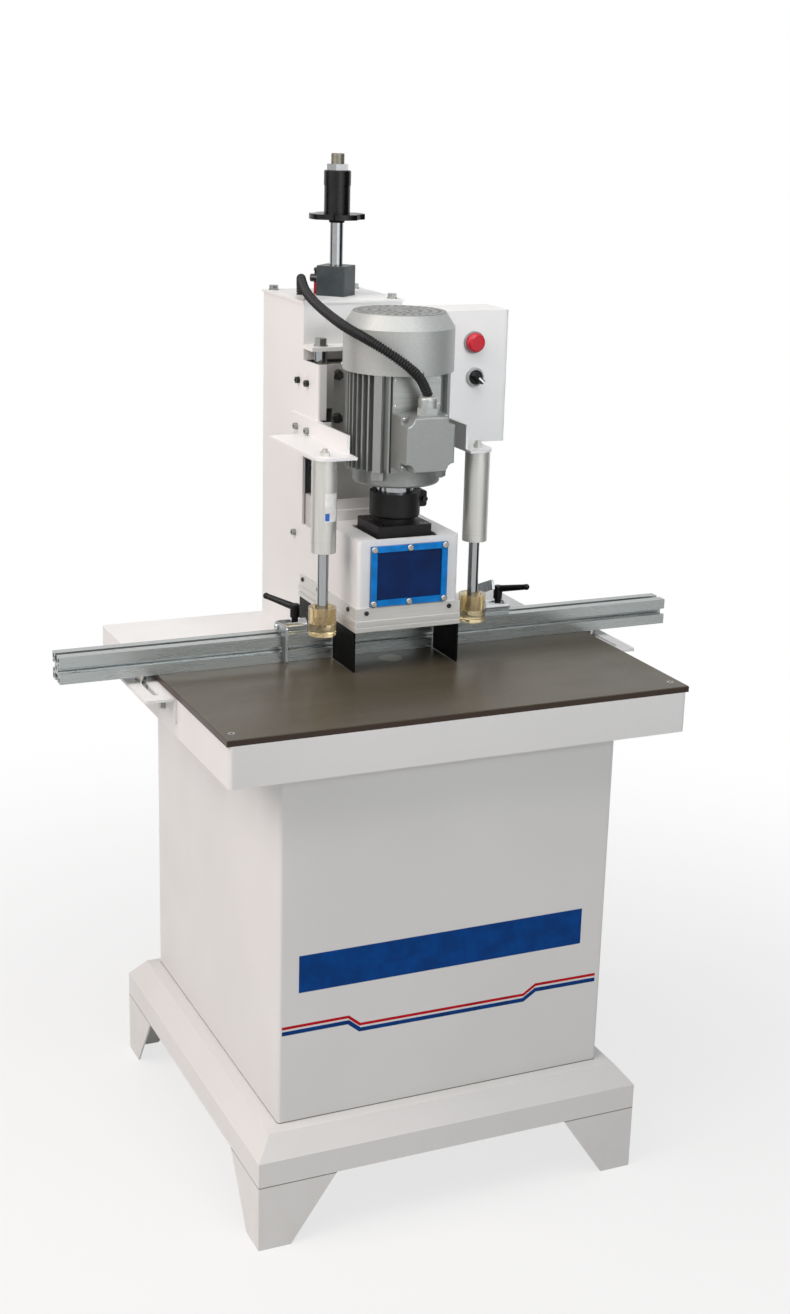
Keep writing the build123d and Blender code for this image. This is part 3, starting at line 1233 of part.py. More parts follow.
def motor_housing():
    """Finned body with its upper bearing lid, and the stator ring inside it."""
    outline = Circle(BODY_D / 2)
    for k in range(FIN_COUNT):
        fin = Pos(FIN_D / 4, 0) * Rectangle(FIN_D / 2, FIN_T)
        outline = outline + Rot(0, 0, 360 / FIN_COUNT * k) * fin
    for turn in DIAGONALS:
        boss = Pos(COWL_D / 4, 0) * Rectangle(COWL_D / 2, BOSS_W)
        outline = outline + Rot(0, 0, turn) * boss
    outline = outline & Circle(COWL_D / 2 - COWL_T)
    body = Pos(0, AXIS_Y, BODY_BOTTOM) * extrude(outline, BODY_H)
    body = body - post(BODY_BORE, 0, AXIS_Y, (BODY_BOTTOM, BODY_TOP - BODY_LID))
    pad = PAD_FRONT + PAD_STEP
    body = body - box(both(TERM_HALF + PAD_STEP), (AXIS_Y - FIN_D, pad), (BODY_BOTTOM, BODY_TOP))
    pad_back = AXIS_Y - (BODY_BORE + BODY_D) / 4
    body = body + box(both(TERM_HALF), (pad, pad_back), (BODY_BOTTOM, BODY_TOP - COWL_OVERLAP))
    body = body + box(both(TERM_HALF), (PAD_FRONT, pad_back), TERM_Z)
    overlap = (BODY_TOP - COWL_OVERLAP, BODY_TOP)
    inside = post(COWL_D - 2 * COWL_T, 0, AXIS_Y, overlap)
    for turn in COWL_BEARINGS:
        boss = box((BODY_BORE / 2, COWL_D / 2), both(BOSS_W / 2), overlap)
        body = body + (Pos(0, AXIS_Y, 0) * Rot(0, 0, turn) * boss & inside)
    bearing = motor_bearing_lows()[1]
    body = body - post(MOTOR_BEARING_D, 0, AXIS_Y, (bearing, bearing + MOTOR_BEARING_H))
    body = body - post(SHAFT_MOTOR_D + 2 * AIR, 0, AXIS_Y, (BODY_TOP - BODY_LID, BODY_TOP))
    body = cut(body, cowl_screws() + terminal_screws())
    stator = tube(BODY_BORE, STATOR_BORE, 0, AXIS_Y, STATOR_Z)
    return [body, stator]


def rotor():
    """Shaft with the rotor core, and the cooling fan on its upper end."""
    shaft_low = BOX_TOP + SQUARE_FLANGE_T
    shaft = post(SHAFT_MOTOR_D, 0, AXIS_Y, (shaft_low, FAN_Z[1]))
    core = post(STATOR_BORE - 2 * AIR, 0, AXIS_Y, STATOR_Z)
    disc = post(FAN_D * 0.9, 0, AXIS_Y, (FAN_Z[0], FAN_Z[0] + FAN_T))
    fan = disc + post(SHAFT_MOTOR_D * 2, 0, AXIS_Y, FAN_Z)
    for k in range(FAN_BLADES):
        blade = box((0, FAN_D / 2), both(FAN_T / 2), FAN_Z)
        fan = fan + Pos(0, AXIS_Y, 0) * Rot(0, 0, 360 / FAN_BLADES * k) * blade
    fan = fan - post(SHAFT_MOTOR_D, 0, AXIS_Y, FAN_Z)
    return [shaft + core, fan]


def fan_cowl():
    """Pressed cover: straight skirt, sloped shoulder and a perforated top."""
    low = BODY_TOP - COWL_OVERLAP
    r, top_r, t = COWL_D / 2, COWL_TOP_D / 2, COWL_T
    slope = atan2(r - top_r, COWL_TOP - COWL_SHOULDER)
    lean = t * tan(slope / 2)
    outline = [(0, COWL_TOP), (top_r, COWL_TOP), (r, COWL_SHOULDER), (r, low), (r - t, low),
               (r - t, COWL_SHOULDER - lean), (top_r - t * cos(slope), COWL_TOP - t), (0, COWL_TOP - t)]
    section = Plane.XZ * Polygon(*outline, align=None)
    cowl = Pos(0, AXIS_Y, 0) * revolve(section, Axis.Z)
    holes = []
    for ring_r, count in GRILLE_RINGS:
        for k in range(count):
            a = 2 * pi * k / count
            x, y = ring_r * cos(a), AXIS_Y + ring_r * sin(a)
            holes.append(post(GRILLE_HOLE, x, y, (COWL_TOP - 2 * t, COWL_TOP + t)))
    cowl = cowl - Compound(children=holes)
    return [cut(cowl, cowl_screws())]


def cowl_screws():
    z = BODY_TOP - COWL_OVERLAP / 2
    screws = []
    for turn in COWL_BEARINGS:
        out = (cos(radians(turn)), sin(radians(turn)), 0)
        seat = (out[0] * COWL_D / 2, AXIS_Y + out[1] * COWL_D / 2, z)
        screws.append(pan_screw(seat, out, 3 * COWL_T))
    return screws


def terminal_box():
    """Base on the motor's pad, and a cover whose corners are cut back round the screws."""
    z, wall = TERM_Z, TERM_WALL
    base = box(both(TERM_HALF), (TERM_BASE, PAD_FRONT), z)
    base = fillet(base.edges().filter_by(Axis.Y), wall)
    cover = box(both(TERM_HALF), (TERM_FRONT, TERM_BASE), z)
    corners = [(x, height) for x in both(TERM_HALF) for height in z]
    cover = cut(cover, [bar_y(2 * TERM_NOTCH, x, (TERM_FRONT, TERM_BASE), height) for x, height in corners])
    cover = fillet(cover.edges().group_by(Axis.Y)[0], wall * 0.8)
    room_half = TERM_HALF - TERM_NOTCH - wall
    room = box(both(room_half), (TERM_FRONT + wall, PAD_FRONT - wall), (z[0] + wall, z[1] - wall))
    gland = post(CONDUIT_BORE, GLAND_X, GLAND_Y, (z[1] - wall, z[1]))
    return [cut(base - room - gland, terminal_screws()), cover - room - gland]


def terminal_screw_places():
    inset = TERM_NOTCH - PAN_D
    return [(x, z) for x in both(TERM_HALF - inset) for z in (TERM_Z[0] + inset, TERM_Z[1] - inset)]


def terminal_screws():
    reach = PAD_FRONT - TERM_BASE
    return [pan_screw((x, TERM_BASE, z), (0, -1, 0), reach) for x, z in terminal_screw_places()]


def conduit_gland():
    low = TERM_Z[1]
    hexagon = hex_z(GLAND_AF, GLAND_X, GLAND_Y, (low, low + GLAND_HEX_H))
    dome = post(GLAND_AF - 1.0, GLAND_X, GLAND_Y, (low + GLAND_HEX_H, low + GLAND_H))
    dome = fillet(dome.edges().group_by(Axis.Z)[-1], GLAND_H / 5)
    return [hexagon + dome - post(CONDUIT_BORE, GLAND_X, GLAND_Y, (low, low + GLAND_H))]


def head_screws():
    return coupling_screws() + cowl_screws() + terminal_screws() + carriage_bolts()


# Conduit

def conduit_route():
    """Corners of the conduit's centre line, from the column's top to the gland."""
    start = (CONDUIT_HOLE_X, CONDUIT_HOLE_Y, COL_TOP - CONDUIT_SUNK)
    end = (GLAND_X, GLAND_Y, TERM_Z[1] + GLAND_H)
    return [Vector(*p) for p in (start,) + CONDUIT_POINTS + (end,)]


def bend_radii(route):
    """Largest arc at each corner that its two runs leave room for."""
    radii = []
    for before, here, after in zip(route, route[1:], route[2:]):
        turn = (here - before).get_angle(after - here)
        run = min((here - before).length, (after - here).length)
        radii.append(0.45 * run / tan(radians(turn) / 2))
    return radii


def conduit():
    """Ribbed hose with its bore."""
    route = conduit_route()
    radii = bend_radii(route)
    path = FilletPolyline(*route, radius=radii)
    pitch = path.length / CONDUIT_RIBS
    shape = ((0.0, CONDUIT_ROOT_D), (0.22, CONDUIT_D), (0.58, CONDUIT_D), (0.8, CONDUIT_ROOT_D))
    places = [((k + share) * pitch, d) for k in range(CONDUIT_RIBS) for share, d in shape]
    places.append((path.length, CONDUIT_ROOT_D))
    steady = Vector(4, -1, 2)

    def ring(distance, d):
        at = path.position_at(distance, PositionMode.LENGTH)
        along = path.tangent_at(distance, PositionMode.LENGTH)
        return Plane(origin=at, x_dir=steady, z_dir=along) * Circle(d / 2)

    hose = loft([ring(distance, d) for distance, d in places], ruled=True)
    return [hose - sweep(ring(0, CONDUIT_BORE), path)]


# Clamps

def arm_shelf(x, y):
    """Flat part of a clamp arm with a round outer corner and the stud's hole."""
    z = (CLAMP_TOP, CLAMP_TOP + ARMS_T)
    shelf = box(x, y, z)
    shelf = fillet(shelf.edges().filter_by(Axis.Z).group_by(Axis.X)[-1].group_by(Axis.Y)[0], ARMS_ROUND)
    return shelf - post(BOLT_D, CLAMP_X, CLAMP_Y, z)


def clamp_brackets():
    """Angle arms on the column's sides that carry the clamp barrels; the right one is joggled outward."""
    wall = COL_W / 2
    outer = wall + ARMS_T
    web = box((wall, outer), (ARMS_WEB_FRONT, ARMS_BACK), (CLAMP_TOP, CLAMP_TOP + ARMS_H))
    left = flip(web + arm_shelf((wall, ARMS_OUT), (ARMS_FRONT, LEFT_SHELF_BACK)))
    bend = ARMS_T * tan(radians(22.5))
    clear = wall + ARMS_JOG
    inside = [(wall, ARMS_BACK), (wall, JOG_BACK), (clear, JOG_FRONT), (clear, RIGHT_WEB_FRONT)]
    outside = [(x + ARMS_T, y) for x, y in reversed(inside)]
    outside[1] = (outside[1][0], JOG_FRONT + bend)
    outside[2] = (outside[2][0], JOG_BACK + bend)
    web = prism_z(inside + outside, (CLAMP_TOP, CLAMP_TOP + RIGHT_ARM_H))
    right = web + arm_shelf((clear, ARMS_OUT), (ARMS_FRONT, JOG_FRONT))
    return [cut(arm, arm_bolts()) for arm in (left, right)]


def clamp_barrels():
    """Barrels with two end lids and the stud and nut on the bracket."""
    barrels = []
    for x in both(CLAMP_X):
        z = (CLAMP_BOTTOM, CLAMP_TOP)
        barrel = post(CLAMP_D, x, CLAMP_Y, z)
        for low in (z[0] + CLAMP_LID, z[1] - CLAMP_LID):
            span = (low, low + CLAMP_GROOVE)
            barrel = barrel - tube(CLAMP_D, CLAMP_D - CLAMP_GROOVE, x, CLAMP_Y, span)
        barrel = barrel - post(CLAMP_BORE, x, CLAMP_Y, (z[0] + CLAMP_LID, z[1] - CLAMP_LID))
        barrel = barrel - post(CLAMP_ROD_D + 2 * RUN, x, CLAMP_Y, (z[0], z[0] + CLAMP_LID))
        nut_z = (CLAMP_TOP + ARMS_T, CLAMP_TOP + ARMS_T + HEX_H)
        stud = post(BOLT_D, x, CLAMP_Y, (CLAMP_TOP, nut_z[1] + BOLT_D / 2))
        nut = hex_z(HEX_AF, x, CLAMP_Y, nut_z) - post(BOLT_D, x, CLAMP_Y, nut_z)
        barrels += [barrel + stud, nut]
    return barrels


def clamp_rod(x):
    top = CLAMP_TOP - CLAMP_LID - AIR
    piston = post(CLAMP_BORE - 2 * RUN, x, CLAMP_Y, (top - CLAMP_PISTON_H, top))
    rod = post(CLAMP_ROD_D, x, CLAMP_Y, (CUP_Z[0] + CUP_FLOOR, top))
    return [rod + piston]


def clamp_cup(x):
    """Soft cup on the rod's end, with the nut that holds it."""
    floor = CUP_Z[0] + CUP_FLOOR
    cup = post(CUP_D, x, CLAMP_Y, CUP_Z)
    cup = fillet(cup.edges().group_by(Axis.Z)[0], CUP_D / 20)
    cup = cup - post(CUP_ROOM_D, x, CLAMP_Y, (floor, CUP_Z[1]))
    nut_z = (floor, floor + CUP_NUT_H)
    nut = hex_z(CUP_NUT_AF, x, CLAMP_Y, nut_z) - post(CLAMP_ROD_D, x, CLAMP_Y, nut_z)
    return [cup, nut]


# Control box

def control_x():
    left = COL_W / 2 + ARMS_T
    return (left, left + CONTROL_W)


def lamp_place():
    return control_x()[1] - LAMP_FROM_RIGHT, CONTROL_Z[1] - LAMP_DOWN


def selector_place():
    return control_x()[1] - SELECTOR_FROM_RIGHT, CONTROL_Z[1] - SELECTOR_DOWN


def control_box():
    """Folded box, and the selector's bezel ring on its front."""
    case = shell_box(control_x(), CONTROL_Y, CONTROL_Z, CONTROL_T, CONTROL_BEND)
    x, z = selector_place()
    front = CONTROL_Y[0]
    hole = bar_y(SELECTOR_D + 2 * RUN, x, (front - BEZEL_T, front + CONTROL_T), z)
    bezel = bar_y(SELECTOR_BEZEL_D, x, (front - BEZEL_T, front), z)
    bezel = fillet(bezel.edges().group_by(Axis.Y)[0], BEZEL_T / 3)
    return [case - hole, bezel - hole]


def pilot_lamp():
    x, z = lamp_place()
    front = CONTROL_Y[0]
    bezel = bar_y(LAMP_BEZEL_D, x, (front - BEZEL_T, front), z)
    lens = bar_y(LAMP_D, x, (front - LAMP_OUT, front), z)
    lens = fillet(lens.edges().group_by(Axis.Y)[0], LAMP_D / 6)
    return [bezel - lens, lens]


def selector_knob():
    """Round knob with a raised grip bar and a shaft through the box's front."""
    x, z = selector_place()
    front = CONTROL_Y[0]
    seat = front - BEZEL_T - SELECTOR_RIM
    disc = bar_y(SELECTOR_D, x, (seat, front + CONTROL_T), z)
    grip = box(both(SELECTOR_D * 0.48), (seat - SELECTOR_OUT, seat), both(SELECTOR_GRIP / 2))
    grip = fillet(grip.edges().group_by(Axis.Y)[0], SELECTOR_GRIP / 4)
    grip = Pos(x, 0, z) * Rot(0, SELECTOR_TILT, 0) * grip
    return [disc + grip]


def frame_bolts():
    """Bolts and screws of the fixed frame."""
    stand = panel_screws() + table_screws() + bracket_bolts()
    column = cap_bolts() + side_bolts() + arm_bolts() + tie_bolts()
    return stand + column


NODES = {
    "base_plinth": base_plinth(),
    "cabinet_panels": cabinet_panels(),
    "table_tray": table_tray(),
    "table_plate": table_plate(),
    "fence_brackets": fence_brackets(),
    "frame_bolts": frame_bolts(),
    "column_sides": column_sides(),
    "column_panels": column_panels(),
    "column_top_plate": column_top_plate(),
    "shaft_holders": shaft_holders(),
    "guide_shafts": guide_shafts(),
    "feed_cylinder": feed_cylinder(),
    "feed_top_block": feed_top_block(),
    "air_line": air_line(),
    "hood_shell": hood_shell(),
    "window_frame": window_frame(),
    "window_pane": window_pane(),
    "hood_screws": window_screws() + rim_screws(),
    "hood_rim": hood_rim(),
    "curtains": curtains(),
    "clamp_brackets": clamp_brackets(),
    "clamp_barrels": clamp_barrels(),
    "control_box": control_box(),
    "pilot_lamp": pilot_lamp(),
    "fence_profile": fence_profile(),
    "fence_bolts": fence_bolts(),
    "left_stop_block": stop_block(LEFT_STOP_X),
    "left_stop_blade": stop_blade(LEFT_STOP_X, 0.0),
    "left_stop_lever": stop_lever(LEFT_STOP_X, -1, LEFT_LEVER_TURN),
    "right_stop_block": stop_block(RIGHT_STOP_X),
    "right_stop_blade": stop_blade(RIGHT_STOP_X, BLADE_FLIP),
    "right_stop_lever": stop_lever(RIGHT_STOP_X, 1, RIGHT_LEVER_TURN),
    "left_clamp_rod": clamp_rod(-CLAMP_X),
    "left_clamp_cup": clamp_cup(-CLAMP_X),
    "right_clamp_rod": clamp_rod(CLAMP_X),
    "right_clamp_cup": clamp_cup(CLAMP_X),
    "selector_knob": selector_knob(),
    "conduit": conduit(),
    "carriage": carriage(),
    "carriage_bushings": carriage_bushings(),
    "gearbox_housing": gearbox_housing(),
    "spindle_bearings": spindle_bearings(),
    "coupling_housing": coupling_housing(),
    "motor_housing": motor_housing(),
    "motor_end_shield": motor_end_shield(),
    "fan_cowl": fan_cowl(),
    "terminal_box": terminal_box(),
    "conduit_gland": conduit_gland(),
    "head_screws": head_screws(),
    "feed_rod": feed_rod(),
    "depth_bumper": depth_bumper(),
    "depth_sleeve": depth_sleeve(),
    "rotor": rotor(),
    "centre_spindle": centre_spindle(),
    "centre_bit": cup_bit(),
    "left_spindle": [spindle(1)],
    "left_bit": side_bit(1),
    "right_spindle": [spindle(2)],
    "right_bit": side_bit(2),
}

os.makedirs("parts", exist_ok=True)
for name, solids in NODES.items():
    export_step(Compound(children=solids), os.path.join("parts", name + ".step"))
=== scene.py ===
import math

import bmesh
import bpy
from mathutils import Matrix, Vector


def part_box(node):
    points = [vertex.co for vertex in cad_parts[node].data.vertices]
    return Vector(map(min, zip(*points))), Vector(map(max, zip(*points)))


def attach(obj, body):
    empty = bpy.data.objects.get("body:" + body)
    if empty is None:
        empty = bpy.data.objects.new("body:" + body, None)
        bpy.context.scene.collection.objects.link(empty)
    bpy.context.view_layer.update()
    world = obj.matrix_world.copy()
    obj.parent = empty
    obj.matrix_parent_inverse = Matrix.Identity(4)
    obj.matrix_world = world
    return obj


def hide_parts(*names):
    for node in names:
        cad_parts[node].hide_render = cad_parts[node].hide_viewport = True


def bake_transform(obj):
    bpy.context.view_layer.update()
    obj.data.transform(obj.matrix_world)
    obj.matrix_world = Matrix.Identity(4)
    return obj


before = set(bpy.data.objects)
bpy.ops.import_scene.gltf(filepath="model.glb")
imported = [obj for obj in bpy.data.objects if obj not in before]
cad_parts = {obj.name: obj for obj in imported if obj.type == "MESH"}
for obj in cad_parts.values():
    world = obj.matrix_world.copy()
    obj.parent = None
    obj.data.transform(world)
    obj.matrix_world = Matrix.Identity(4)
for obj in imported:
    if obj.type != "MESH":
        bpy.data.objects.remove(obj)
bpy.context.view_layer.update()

bl_info = {
    "name": "Hinge-cup boring machine",
    "version": (1, 0, 0),
    "blender": (4, 5, 0),
    "location": "View3D > Sidebar > Boring machine",
    "description": "Finishes, conduit, stripes and plates of a vertical boring machine",
    "category": "Object",
}

MM = 0.001
WHITE = (1.0, 1.0, 1.0, 1.0)

# Camera fitted to the photograph: its height and the focal length in its pixels, the place in millimetres,
# and yaw, pitch and roll in degrees.
PHOTO_HEIGHT = 1314
CAMERA_FOCUS = 1880.3
CAMERA_AT = (-1111.6, -2508.9, 1596.3)
CAMERA_TURN = (24.464, 16.842, 1.542)
SENSOR = 36.0
VIEW_REACH = 60.0

# The conduit's route, as in the part's source, in metres. The point before the last is moved, so that the
# conduit slants on to the gland.
CONDUIT_ROUTE = (
    (-0.050, 0.208, 1.276),
    (-0.050, 0.208, 1.316),
    (-0.066, 0.166, 1.316),
    (-0.078, 0.118, 1.304),
    (-0.087, 0.056, 1.294),
    (-0.092, -0.014, 1.284),
    (-0.093, -0.074, 1.275),
    (-0.082, -0.114, 1.266),
    (-0.058, -0.142, 1.249),
    (-0.026, -0.152, 1.226),
    (-0.005, -0.1465, 1.207),
    (0.005, -0.143, 1.186),
)
ROUTE_STEPS = 24            # points of the spline to each point of the route
CONDUIT_SIDES = 20
RIB_STEPS = 8               # rings to each rib
RIB_FLANK = (-0.75, 0.35)   # where a rib's flank starts and ends on its cosine

# The red stripe's line across the cabinet's front, as x and z in millimetres.
STRIPE_LINE = ((-256, 321), (-154, 321), (-136, 306), (129, 304), (149, 317), (251, 316))
BAND_SHIFT = -4.5 * MM      # the blue band's middle, beside the cabinet's
BAND_CORNER = 0.5 * MM

# Where finishes change.
SEAMS = (0.1012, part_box("base_plinth")[1].z + 0.0011)   # above the feet, and under the cabinet
SEAM_HALF = 0.0008
DUST_TOP = 0.16
DUST_MOST = 0.14
CONTROL_BEZEL = 4.9 * MM
TABLE_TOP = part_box("table_plate")[1].z
TABLE_FACE = 0.0012
DRILL_Y = (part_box("centre_bit")[0].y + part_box("centre_bit")[1].y) / 2
PALE_ROUND_RADII = (0.0165, 0.0185)   # radii between which the pale round under the centre bit fades out
COLUMN_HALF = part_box("column_sides")[1].x - 0.0005
SIDE_BOLTS_ABOVE = 1.15
SPIGOT_DROP = 0.0238        # from the motor's housing down to its bare spigot
STUD_SHOWS = 0.0153
LAMP_BEZEL = 1.9 * MM
TUBE_LENGTH = 17.5 * MM

# The motor's bare plate and its rivets.
PLATE_SEAT = -0.116         # depth of the face that carries it
PLATE_DROP = 2 * MM         # below the cowl
PLATE_CORNER = 3 * MM
PLATE_SUNK = 0.3 * MM
PLATE_PROUD = 0.8 * MM
RIVET_INSET = 4 * MM
RIVET_D = 3.2 * MM

# The selector's pointer, about the knob's middle.
POINTER_X = (-1.5 * MM, 9.6 * MM)
POINTER_Z = (-1.5 * MM, 1.5 * MM)
POINTER_CORNER = 1.0 * MM
POINTER_DEPTHS = (0.4 * MM, -0.25 * MM)
POINTER_TURN = 40

# The left clamp's label and the square on it, by bearings in degrees and heights.
LEFT_CLAMP = (-0.121, -0.073)
LABEL_FILM = 0.1 * MM
LABEL_BEARINGS = (-108, -40)
LABEL_Z = (1.003, 1.044)
SQUARE_BEARINGS = (-106, -86)
SQUARE_Z = (1.0045, 1.0155)

# The stage.
MIDDLE = (0, 0, 0.85)
SKY_FILL = 0.24
FLOOR_RADIUS = 9.0
FLOOR_FADE = (0.5, 2.0)     # distances between which the floor fades to white
FLOOR_NEAR = 0.72           # how far it has faded at the machine


def paint(code):
    """An sRGB hex code as a linear colour."""
    def linear(v):
        return v / 12.92 if v <= 0.04045 else ((v + 0.055) / 1.055) ** 2.4
    red, green, blue = (linear(int(code[i:i + 2], 16) / 255) for i in (1, 3, 5))
    return red, green, blue, 1.0


def shade(tint, factor):
    """A colour made darker or lighter."""
    return (*(min(1.0, part * factor) for part in tint[:3]), 1.0)


def colour(name, description, code):
    return bpy.props.FloatVectorProperty(
        name=name, description=description, subtype="COLOR", size=4, min=0, max=1, default=paint(code))


def length(name, description, millimetres):
    return bpy.props.FloatProperty(
        name=name, description=description, unit="LENGTH", min=0, precision=4, default=millimetres * MM)


class MachineColours(bpy.types.PropertyGroup):
    """Colours of the finishes."""
    white: colour("White", "Powder coat of the sheet steel", "#E7E8E7")
    table: colour("Table", "Face of the table's laminate", "#4A4437")
    motor: colour("Motor", "Aluminium paint of the motor", "#8D908E")
    cowl: colour("Cowl", "Aluminium paint of the fan cowl", "#A6A9A7")
    casting: colour("Coupling", "Black coupling housing", "#181717")
    frame_blue: colour("Window frame", "Blue frame round the hood's window", "#027CCE")
    pane: colour("Window pane", "Tinted pane in the hood's window", "#012150")
    band: colour("Band", "Blue band on the cabinet", "#02428A")
    stripe_red: colour("Red stripe", "Upper stripe on the cabinet", "#C01522")
    stripe_blue: colour("Blue stripe", "Lower stripe on the cabinet", "#023B7E")
    lens: colour("Lamp", "Pilot lamp's lens", "#BC0020")
    cup: colour("Cups", "Polyurethane cups of the clamps", "#F7E4B6")
    block: colour("Block", "End block of the feed cylinder", "#262F32")


class MachineSizes(bpy.types.PropertyGroup):
    """Sizes of the pieces that the scene adds."""
    conduit_crest: length("Conduit crest", "Outer diameter over the conduit's ribs", 14.5)
    conduit_root: length("Conduit root", "Diameter between the conduit's ribs", 11.4)
    conduit_length: length("Conduit length", "Conduit from end to end", 502.8)
    conduit_ribs: bpy.props.IntProperty(name="Conduit ribs", description="Ribs on the conduit", default=118)
    band_width: length("Band width", "Blue band from side to side", 453)
    band_height: length("Band height", "Blue band from top to bottom", 57)
    band_middle: length("Band middle", "Height of the band's middle above the floor", 401)
    red_width: length("Red stripe", "Width of the red stripe", 4.2)
    blue_width: length("Blue stripe", "Width of the blue stripe", 6.2)
    stripe_gap: length("Stripe spacing", "Blue stripe's line below the red one", 8.4)
    film: length("Film", "Thickness of a printed film", 0.2)
    plate_width: length("Plate width", "Motor's bare plate from side to side", 74)
    plate_height: length("Plate height", "Motor's bare plate from top to bottom", 44)


def wire(tree, node, sockets):
    """Sets a node's inputs, or links them to a socket or to the first live output of another node."""
    for key, value in sockets.items():
        if isinstance(value, bpy.types.Node):
            value = next(output for output in value.outputs if output.enabled)
        if isinstance(value, bpy.types.NodeSocket):
            tree.links.new(value, node.inputs[key])
        else:
            node.inputs[key].default_value = value


def put(tree, kind, sockets=None, **settings):
    """Adds a node with its settings, and sets or links its inputs."""
    made = tree.nodes.new(kind)
    for key, value in settings.items():
        setattr(made, key, value)
    wire(tree, made, sockets or {})
    return made


def start(name, constants):
    """A new material, its tree and its shader, with the shader's constants set."""
    material = bpy.data.materials.new(name)
    material.use_nodes = True
    tree = material.node_tree
    shader = tree.nodes["Principled BSDF"]
    wire(tree, shader, constants)
    return material, tree, shader


# Inputs of a colour mix: its factor and its two colours.
FAC, A, B = 0, 6, 7


def coordinates(tree):
    """Object coordinates X, Y and Z as sockets, in metres."""
    at = put(tree, "ShaderNodeTexCoord").outputs["Object"]
    return put(tree, "ShaderNodeSeparateXYZ", {0: at}).outputs


def mottle(tree, size, low=0.35, high=0.65, detail=2.0):
    """Soft patches from 0 to 1, of the given size in millimetres along x, y and z."""
    at = put(tree, "ShaderNodeTexCoord").outputs["Object"]
    scaled = put(tree, "ShaderNodeMapping", {"Vector": at, "Scale": [1 / (s * MM) for s in size]})
    noise = put(tree, "ShaderNodeTexNoise", {"Vector": scaled, "Scale": 1.0, "Detail": detail})
    return put(tree, "ShaderNodeMapRange", {"Value": noise, "From Min": low, "From Max": high})


def rough_skin(tree, shader, size, depth):
    """Small relief of the given grain size and depth, in millimetres."""
    grain = mottle(tree, (size, size, size), low=0.2, high=0.8)
    bump = put(tree, "ShaderNodeBump", {"Height": grain, "Distance": depth * MM, "Strength": 1.0})
    wire(tree, shader, {"Normal": bump})


def powder_coat(name, base, seams=(), bezel=None):
    """Powder-coated sheet steel: an even satin skin with a faint orange peel and some floor dust.

    Dirt lies in the seams at the given heights, and what stands in front of the bezel's depth is grey."""
    material, tree, shader = start(name, {"IOR": 1.5})
    at = coordinates(tree)
    patch = mottle(tree, (260, 260, 260))
    tone = put(tree, "ShaderNodeMix", {FAC: patch, A: base, B: shade(base, 0.965)}, data_type="RGBA")
    low = put(tree, "ShaderNodeMapRange", {
        "Value": at["Z"], "From Max": DUST_TOP, "To Min": DUST_MOST, "To Max": 0})
    dust = put(tree, "ShaderNodeMath", {0: low, 1: mottle(tree, (28, 28, 60))}, operation="MULTIPLY")
    tone = put(tree, "ShaderNodeMix", {FAC: dust, A: tone, B: paint("#C9C3B8")}, data_type="RGBA")
    for height in seams:
        apart = put(tree, "ShaderNodeMath", {0: at["Z"], 1: height}, operation="SUBTRACT")
        apart = put(tree, "ShaderNodeMath", {0: apart}, operation="ABSOLUTE")
        line = put(tree, "ShaderNodeMath", {0: apart, 1: SEAM_HALF}, operation="LESS_THAN")
        tone = put(tree, "ShaderNodeMix", {FAC: line, A: tone, B: paint("#7B7973")}, data_type="RGBA")
    if bezel is not None:
        proud = put(tree, "ShaderNodeMath", {0: at["Y"], 1: bezel}, operation="LESS_THAN")
        tone = put(tree, "ShaderNodeMix", {FAC: proud, A: tone, B: paint("#A4A6A8")}, data_type="RGBA")
    patch = mottle(tree, (70, 70, 70))
    skin = put(tree, "ShaderNodeMapRange", {"Value": patch, "To Min": 0.34, "To Max": 0.46})
    wire(tree, shader, {"Base Color": tone, "Roughness": skin})
    # Real orange peel is about 2 mm, too fine for the render, so it is drawn at 7 mm.
    rough_skin(tree, shader, size=7, depth=0.05)
    return material


def table_laminate(name, base):
    """Compact laminate: a smooth semi-gloss face with a fine fleck, faint wipe marks and a pale round under
    the centre bit.
    """
    material, tree, shader = start(name, {"IOR": 1.5, "Specular IOR Level": 0.2})
    at = coordinates(tree)
    fleck = mottle(tree, (5, 5, 5), low=0.3, high=0.7)
    dark, light = shade(base, 0.9), shade(base, 1.1)
    face = put(tree, "ShaderNodeMix", {FAC: fleck, A: dark, B: light}, data_type="RGBA")
    smear = mottle(tree, (190, 40, 40), detail=4)
    wipe = put(tree, "ShaderNodeMapRange", {"Value": smear, "To Min": 0.0, "To Max": 0.04})
    face = put(tree, "ShaderNodeMix", {FAC: wipe, A: face, B: paint("#A19A8C")}, data_type="RGBA")
    # Pale round in the face under the centre bit, 35 mm across.
    level = put(tree, "ShaderNodeCombineXYZ", {0: at["X"], 1: at["Y"]})
    apart = put(tree, "ShaderNodeVectorMath", {0: level, 1: (0.0, DRILL_Y, 0.0)}, operation="DISTANCE")
    mark = put(tree, "ShaderNodeMapRange", {
        "Value": apart, "From Min": PALE_ROUND_RADII[0], "From Max": PALE_ROUND_RADII[1], "To Min": 0.55, "To Max": 0.0})
    face = put(tree, "ShaderNodeMix", {FAC: mark, A: face, B: paint("#B9B3A4")}, data_type="RGBA")
    top = put(tree, "ShaderNodeMath", {0: at["Z"], 1: TABLE_TOP - TABLE_FACE}, operation="GREATER_THAN")
    tone = put(tree, "ShaderNodeMix", {FAC: top, A: paint("#3B2F27"), B: face}, data_type="RGBA")
    patch = mottle(tree, (120, 60, 60), detail=4)
    gloss = put(tree, "ShaderNodeMapRange", {"Value": patch, "To Min": 0.28, "To Max": 0.34})
    wire(tree, shader, {"Base Color": tone, "Roughness": gloss})
    return material


